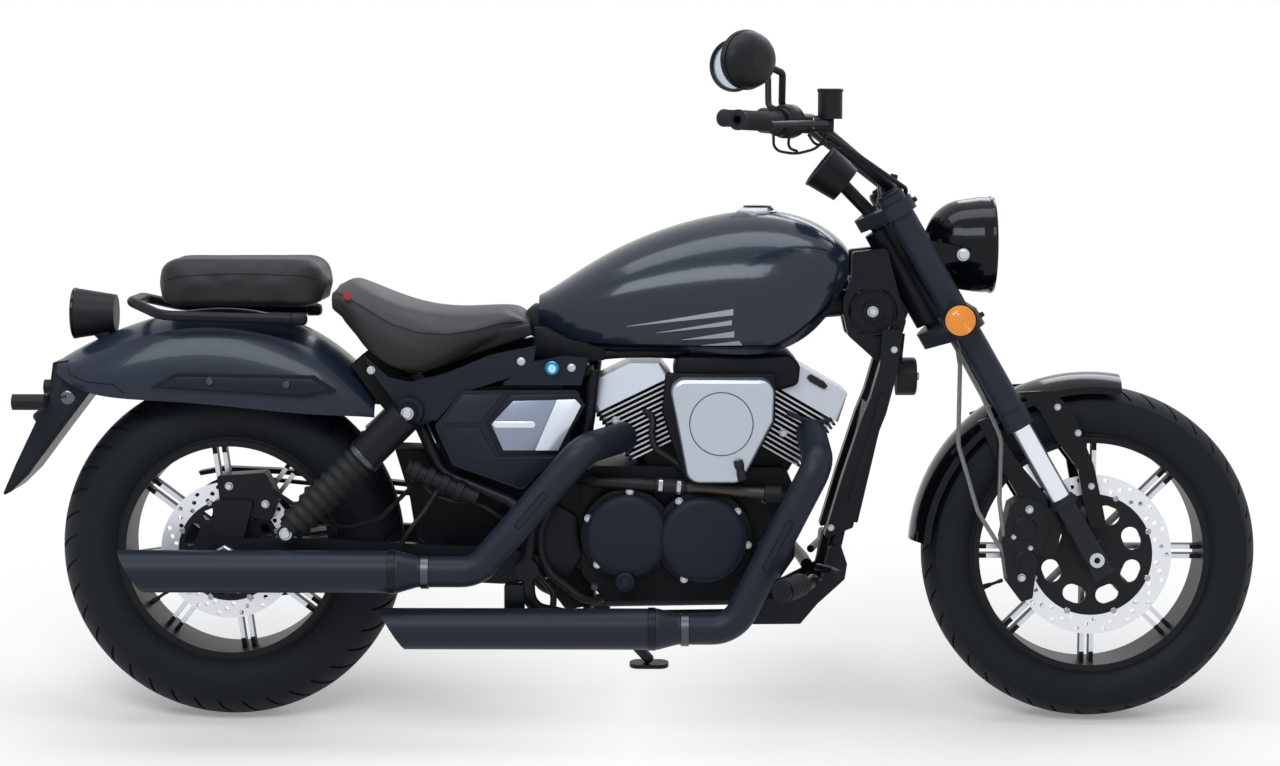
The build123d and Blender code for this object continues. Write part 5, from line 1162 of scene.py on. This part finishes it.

# ---- side covers ----
# Moulded covers in satin black. Each carries a six-sided plate of brushed metal, its front third a painted
# highlight, with a blank name badge, over raised facets, the upper one painted lighter as lit from above, and
# the key lock has a blue anodised ring.
side_black = finish("side_black", (0.0085, 0.0115, 0.0180), 0.40, spread=0.08, grain=0.25, grain_scale=1800,
                    bump=0.0002, shine=0.16)
coat_node("side_covers", side_black)
# The upper facet's black is painted lighter, as lit from above, and the plate's front part is a painted highlight, a
# brighter copy of its metal.
facet_painted_light = finish("facet_painted_light", (0.0125, 0.0160, 0.0235), 0.42, grain=0.2, grain_scale=1800, bump=0.0002, shine=0.2)
plate_metal = finish("plate_metal", (0.25, 0.285, 0.37), 0.30, metal=0.6, spread=0.06, coat=0.1)
plate_painted_highlight = finish("plate_painted_highlight", (0.70, 0.73, 0.80), 0.24, metal=0.5, spread=0.06, coat=0.1)
badge_metal = finish("badge_metal", (0.70, 0.72, 0.76), 0.22, metal=0.8)
# Outlines in the side view, each with its inner and outer face and the rounding of its edges.
COVER_PLATES = [
    ("cover_frame", [(-0.306, 0.543), (-0.264, 0.592), (-0.147, 0.595), (-0.134, 0.574), (-0.178, 0.487),
                     (-0.284, 0.487)], 0.1405, 0.1455, 0.0020, satin_black),
    ("cover_plate", [(-0.298, 0.541), (-0.260, 0.5815), (-0.184, 0.5835), (-0.222, 0.4945), (-0.277, 0.4945)],
     0.1440, 0.1480, 0.0012, plate_metal),
    ("cover_plate_highlight", [(-0.1838, 0.5835), (-0.151, 0.5845), (-0.141, 0.5735), (-0.181, 0.4945),
                           (-0.2218, 0.4945)], 0.1440, 0.1480, 0.0012, plate_painted_highlight),
    ("name_badge", [(-0.296, 0.5405), (-0.2925, 0.5455), (-0.224, 0.5455), (-0.221, 0.5425), (-0.221, 0.5375),
                    (-0.224, 0.5345), (-0.290, 0.5345)], 0.1475, 0.1492, 0.0006, badge_metal),
    ("cover_facet_top", [(-0.386, 0.5425), (-0.347, 0.5920), (-0.278, 0.5935), (-0.312, 0.5500), (-0.318, 0.5425)],
     0.1405, 0.1440, 0.0022, facet_painted_light),
    ("cover_facet_low", [(-0.389, 0.5330), (-0.318, 0.5330), (-0.290, 0.4830), (-0.190, 0.4830), (-0.180, 0.4800),
                         (-0.246, 0.4290), (-0.360, 0.4710)], 0.1405, 0.1440, 0.0022, side_black),
]
# A near-black block behind the covers, painted as the shade inside the machine there.
COVER_SHADE_BLOCK = [(-0.404, 0.560), (-0.386, 0.452), (-0.262, 0.405), (-0.190, 0.430), (-0.132, 0.500), (-0.122, 0.622),
               (-0.300, 0.612)]
mount(plate(COVER_SHADE_BLOCK, -0.088, 0.088, 0.004), "cover_shade_block", shade_and_joint_black, "chassis")
for side in SIDES:
    for name, outline, inner, outer, edge, paint in COVER_PLATES:
        mount(plate(outline, side * inner, side * outer, edge), f"{name}_{side + 2}", paint, "chassis")
    screws(f"cover_screw_{side + 2}", 0.0055, 0.004, (0, side, 0),
           at_side(side * 0.1362, (-0.508, 0.634), (-0.246, 0.650), (-0.158, 0.639)), zinc, "chassis")
    turned(f"shock_boss_{side + 2}",
           [(0.0270, 0), (0.0270, 0.006), (0.0245, 0.0095), (0.0185, 0.0105), (0.0165, 0.0105)],
           side_black, "chassis", (-0.442, side * 0.1355, 0.562), (0, side, 0), steps=56)
lock_blue = finish("lock_blue", (0.004, 0.20, 0.42), 0.25, metal=0.7, coat=0.4)
turned("key_lock_ring", [(0.0125, 0), (0.0125, 0.0055), (0.0110, 0.0070), (0.0085, 0.0070), (0.0080, 0.0055)],
       lock_blue, "chassis", (-0.192, -0.136, 0.638), RIGHT, steps=40, ends="open")
turned("key_lock_heart", [(0.0080, 0), (0.0080, 0.0055), (0.0070, 0.0062), (0.002, 0.0064)],
       finish("lock_silver", (0.45, 0.75, 0.95), 0.22, metal=0.9), "chassis", (-0.192, -0.136, 0.638), RIGHT, steps=32)

# ---- seats ----
# Foam pads under a stretched, dark brown grained cover. The rider's seat is sewn from a top panel and two
# side panels that meet in a piped seam, with a small red cloth loop at its rear. The pillion pad has one
# seam round its upper edge.
VOXEL, PRESSURE, STEPS = 0.005, 4.0, 20
PAD_CLEAR, PIPING_REACH = 0.24, 0.23
seat_leather = finish("seat_leather", (0.021, 0.0190, 0.0195), 0.50, spread=0.10, grain=1.0, grain_scale=520,
                      bump=0.0005, shine=0.20)
# The top panel is the same grained cover painted lighter, as the light from above falls on it.
seat_top_painted_light = finish("seat_top_painted_light", (0.038, 0.0355, 0.0350), 0.46, spread=0.10, grain=1.0, grain_scale=520,
                  bump=0.0005, shine=0.22)
piping_black = finish("piping_black", (0.008, 0.008, 0.009), 0.42, grain=0.3)


def foam_pad(node_name, name, shrink, cap):
    """A pad whose cover is swelled by its filling: at most by the cap, from a slightly smaller start."""
    pad = frame["nodes"][node_name].copy()
    pad.data = frame["nodes"][node_name].data.copy()
    bpy.context.collection.objects.link(pad)
    pick(pad)
    bpy.ops.object.parent_clear(type="CLEAR_KEEP_TRANSFORM")
    bpy.ops.object.transform_apply(location=True, rotation=True, scale=True)
    pad.data.remesh_voxel_size = VOXEL
    bpy.ops.object.voxel_remesh()
    bpy.ops.object.mode_set(mode="EDIT")
    bpy.ops.mesh.select_all(action="SELECT")
    bpy.ops.mesh.vertices_smooth(factor=0.6, repeat=4)
    bpy.ops.transform.shrink_fatten(value=-shrink)
    bpy.ops.object.mode_set(mode="OBJECT")
    before = [corner.co.copy() for corner in pad.data.vertices]
    swell = pad.modifiers.new("swell", "CLOTH")
    swell.settings.use_pressure = True
    swell.settings.uniform_pressure_force = PRESSURE
    swell.settings.effector_weights.gravity = 0
    for step in range(1, STEPS + 1):
        bpy.context.scene.frame_set(step)
    bpy.ops.object.modifier_apply(modifier="swell")
    bpy.context.scene.frame_set(1)
    for corner, start in zip(pad.data.vertices, before):
        move = corner.co - start
        if move.length > cap:
            corner.co = start + move.normalized() * cap
    bpy.ops.object.mode_set(mode="EDIT")
    bpy.ops.mesh.select_all(action="SELECT")
    bpy.ops.mesh.vertices_smooth(factor=0.5, repeat=6)
    bpy.ops.object.mode_set(mode="OBJECT")
    round_off = pad.modifiers.new("round_off", "SUBSURF")
    round_off.levels = round_off.render_levels = 1
    bpy.ops.object.modifier_apply(modifier="round_off")
    pad.name = pad.data.name = name
    pad.data.materials.clear()
    pad.data.materials.append(seat_leather)
    pad.data.materials.append(seat_top_painted_light)
    bpy.ops.object.shade_smooth_by_angle(angle=math.radians(60))
    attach(pad, "chassis")
    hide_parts(node_name)
    return pad


def rope_on(points, radius, name, paint, target, side, offset=0.0):
    """A piped seam laid on the side of a pad, along a line of the side view."""
    sheet = band_sheet(*shifted(points, radius, -radius), side * PAD_CLEAR, 8 * (len(points) - 1), 3)
    laid_on(sheet, target, offset, radius * 1.6, PIPING_REACH, both_ways=False, soft=True)
    return mount(sheet, name, paint, "chassis", smooth=60)


# The moulded pan under the rider's pad, and the rubber that closes the gap between its nose and the tank.
SEAT_PAN = [(-0.232, 0.712), (-0.226, 0.694), (-0.273, 0.678), (-0.325, 0.660), (-0.395, 0.634), (-0.440, 0.622),
            (-0.470, 0.634), (-0.520, 0.672), (-0.556, 0.716), (-0.578, 0.750), (-0.560, 0.756), (-0.480, 0.690),
            (-0.440, 0.670), (-0.320, 0.700)]
mount(plate(SEAT_PAN, -0.108, 0.108, 0.004), "seat_pan", moulded_black, "chassis")
NOSE_RUBBER = [(-0.240, 0.690), (-0.243, 0.728), (-0.226, 0.742), (-0.206, 0.735), (-0.206, 0.700), (-0.222, 0.684)]
mount(plate(NOSE_RUBBER, -0.040, 0.040, 0.005, 3), "nose_rubber", seal_rubber, "chassis")
rider_pad = foam_pad("rider_seat", "rider_pad", 0.004, 0.008)
pillion_pad = foam_pad("pillion_seat", "pillion_pad", 0.003, 0.006)
# The line of the seam in the side view, above which the cover is painted lighter for the light on its top.
SEAT_SEAM = [(-0.578, 0.772), (-0.552, 0.762), (-0.515, 0.741), (-0.470, 0.716), (-0.425, 0.702), (-0.375, 0.698),
             (-0.325, 0.704), (-0.280, 0.715), (-0.245, 0.716)]
upright = ONTO_STAND.inverted()
for face in rider_pad.data.polygons:
    spot = upright @ face.center
    near = min(max(spot.x, SEAT_SEAM[0][0]), SEAT_SEAM[-1][0])
    for (x_from, z_from), (x_to, z_to) in zip(SEAT_SEAM, SEAT_SEAM[1:]):
        if x_from <= near <= x_to:
            seam_z = z_from + (z_to - z_from) * (near - x_from) / (x_to - x_from)
            face.material_index = 1 if spot.z > seam_z and spot.x < -0.245 else 0
for side in SIDES:
    rope_on(SEAT_SEAM, 0.0017, f"seat_piping_{side + 2}", piping_black, rider_pad, side)
    rope_on([(-0.880, 0.786), (-0.840, 0.797), (-0.740, 0.801), (-0.640, 0.799), (-0.604, 0.792)], 0.0012,
            f"pillion_piping_{side + 2}", piping_black, pillion_pad, side, 0.0006)
red_cloth = finish("red_cloth", (0.35, 0.010, 0.022), 0.75, grain=0.6, grain_scale=1500)
loop = band_sheet([(-0.5550, 0.7710), (-0.5440, 0.7665)], [(-0.5545, 0.7600), (-0.5435, 0.7560)], -PAD_CLEAR, 6, 6)
mount(laid_on(loop, frame["nodes"]["rider_seat"], 0.0030, 0.0016), "seat_loop", red_cloth, "chassis")

# ---- rear fender ----
# A pressed steel fender in satin blue-black. A plastic cap closes its end behind a fine joint, and a rail
# panel with pointed ends is bolted to each side.
fender_blue = finish("fender_blue", (0.0145, 0.0205, 0.0340), 0.30, coat=0.16, spread=0.06, shine=0.18)
coat_node("rear_fender", fender_blue)
FENDER_CLEAR = 0.19
CAP_JOINT = [(-1.053, 0.640), (-1.043, 0.621), (-1.014, 0.609), (-0.962, 0.605), (-0.944, 0.590)]
for side in SIDES:
    joint = band_sheet(*shifted(CAP_JOINT, 0.0011, -0.0011), side * FENDER_CLEAR, 40)
    mount(laid_on(joint, frame["nodes"]["rear_fender"], 0.0003, 0.0010), f"cap_joint_{side + 2}", shade_and_joint_black,
          "chassis", smooth=60)
coat_node("tail_brackets", satin_black)
for side in SIDES:
    screws(f"rail_screw_{side + 2}", 0.0065, 0.006, (0, side, 0),
           at_side(side * 0.1282, (-0.791, 0.613), (-0.657, 0.608)), dark_steel, "chassis")
    turned(f"grab_end_{side + 2}", [(0.0092, 0), (0.0115, 0.002), (0.0115, 0.020), (0.0092, 0.026), (0.004, 0.028)],
           satin_black, "chassis", (-0.648, side * 0.122, 0.7222), (1, 0, 0), steps=32)
RAIL_FACE = [(-0.884, 0.603), (-0.848, 0.6215), (-0.612, 0.6175), (-0.582, 0.5985), (-0.628, 0.5885)]
for side in SIDES:
    mount(plate(RAIL_FACE, side * 0.1275, side * 0.1305, 0.0028), f"rail_face_{side + 2}", side_black, "chassis")
# A near-black sheet across the fender's front, painted as the shade inside it.
FENDER_FRONT_SHADE = [(-0.548, 0.640), (-0.522, 0.660), (-0.480, 0.650), (-0.430, 0.600), (-0.430, 0.560), (-0.488, 0.560),
                (-0.514, 0.592)]
mount(plate(FENDER_FRONT_SHADE, -0.100, 0.100, 0.003), "fender_front_shade_sheet", shade_and_joint_black, "chassis")

# ---- tail lamp, rear indicators and plate holder ----
# A drum of black plastic with a ribbed red lens in its rear end. The indicators are black tubes with amber
# lenses, either side of a moulded plate holder that carries a reflector and a small lamp over a blank plate.
coat_node("tail_lights", moulded_black)
red_lens = finish("red_lens", (0.45, 0.004, 0.006), 0.12, coat=0.5)
look_of(red_lens)["Emission Color"].default_value = (0.6, 0.01, 0.01, 1)
look_of(red_lens)["Emission Strength"].default_value = 0.08
LENS_RINGS, RING_PITCH = 5, 0.0065
lens_rings = [(0.0405, 0), (0.0405, 0.0025), (0.0385, 0.0045)]
for ring in range(LENS_RINGS):
    outer = 0.036 - ring * RING_PITCH
    lens_rings += [(outer, 0.0042), (outer - 0.0018, 0.0062), (outer - 0.0045, 0.0062)]
turned("tail_lens", lens_rings + [(0.0015, 0.0050)], red_lens, "chassis", (-1.0472, 0, 0.723), BACKWARD, steps=72)
turned("tail_bezel",
       [(0.0450, 0), (0.0458, 0.0010), (0.0458, 0.0045), (0.0440, 0.0060), (0.0410, 0.0060), (0.0405, 0.0030)],
       gloss_black, "chassis", (-1.0455, 0, 0.723), BACKWARD, steps=72, ends="open")
for side in SIDES:
    turned(f"rear_indicator_lens_{side + 2}",
           [(0.0118, 0), (0.0116, 0.0008), (0.0100, 0.0018), (0.0060, 0.0026), (0.002, 0.0028)],
           amber_lens, "chassis", (-1.1338, side * 0.140, 0.577), BACKWARD, steps=40)
HOLDER_SIDE = [(-1.074, 0.632), (-1.052, 0.636), (-1.018, 0.590), (-1.074, 0.518), (-1.128, 0.446), (-1.156, 0.415),
               (-1.168, 0.408), (-1.144, 0.458), (-1.088, 0.578)]
reflector_glass = finish("reflector_glass", (0.10, 0.10, 0.115), 0.10, metal=0.6, coat=0.5)
for side in SIDES:
    mount(plate(HOLDER_SIDE, side * 0.0615, side * 0.0635, 0.0016), f"holder_face_{side + 2}", side_black, "chassis")
    turned(f"side_reflector_{side + 2}",
           [(0.0125, 0), (0.0125, 0.0030), (0.0112, 0.0040), (0.0060, 0.0050), (0.001, 0.0053)],
           reflector_glass, "chassis", (-1.052, side * 0.0630, 0.578), (0, side, 0), steps=40)
turned("plate_lamp", [(0.013, 0), (0.013, 0.020), (0.010, 0.024), (0.003, 0.025)],
       moulded_black, "chassis", (-1.103, 0, 0.545), (-0.75, 0, -0.66), steps=28)
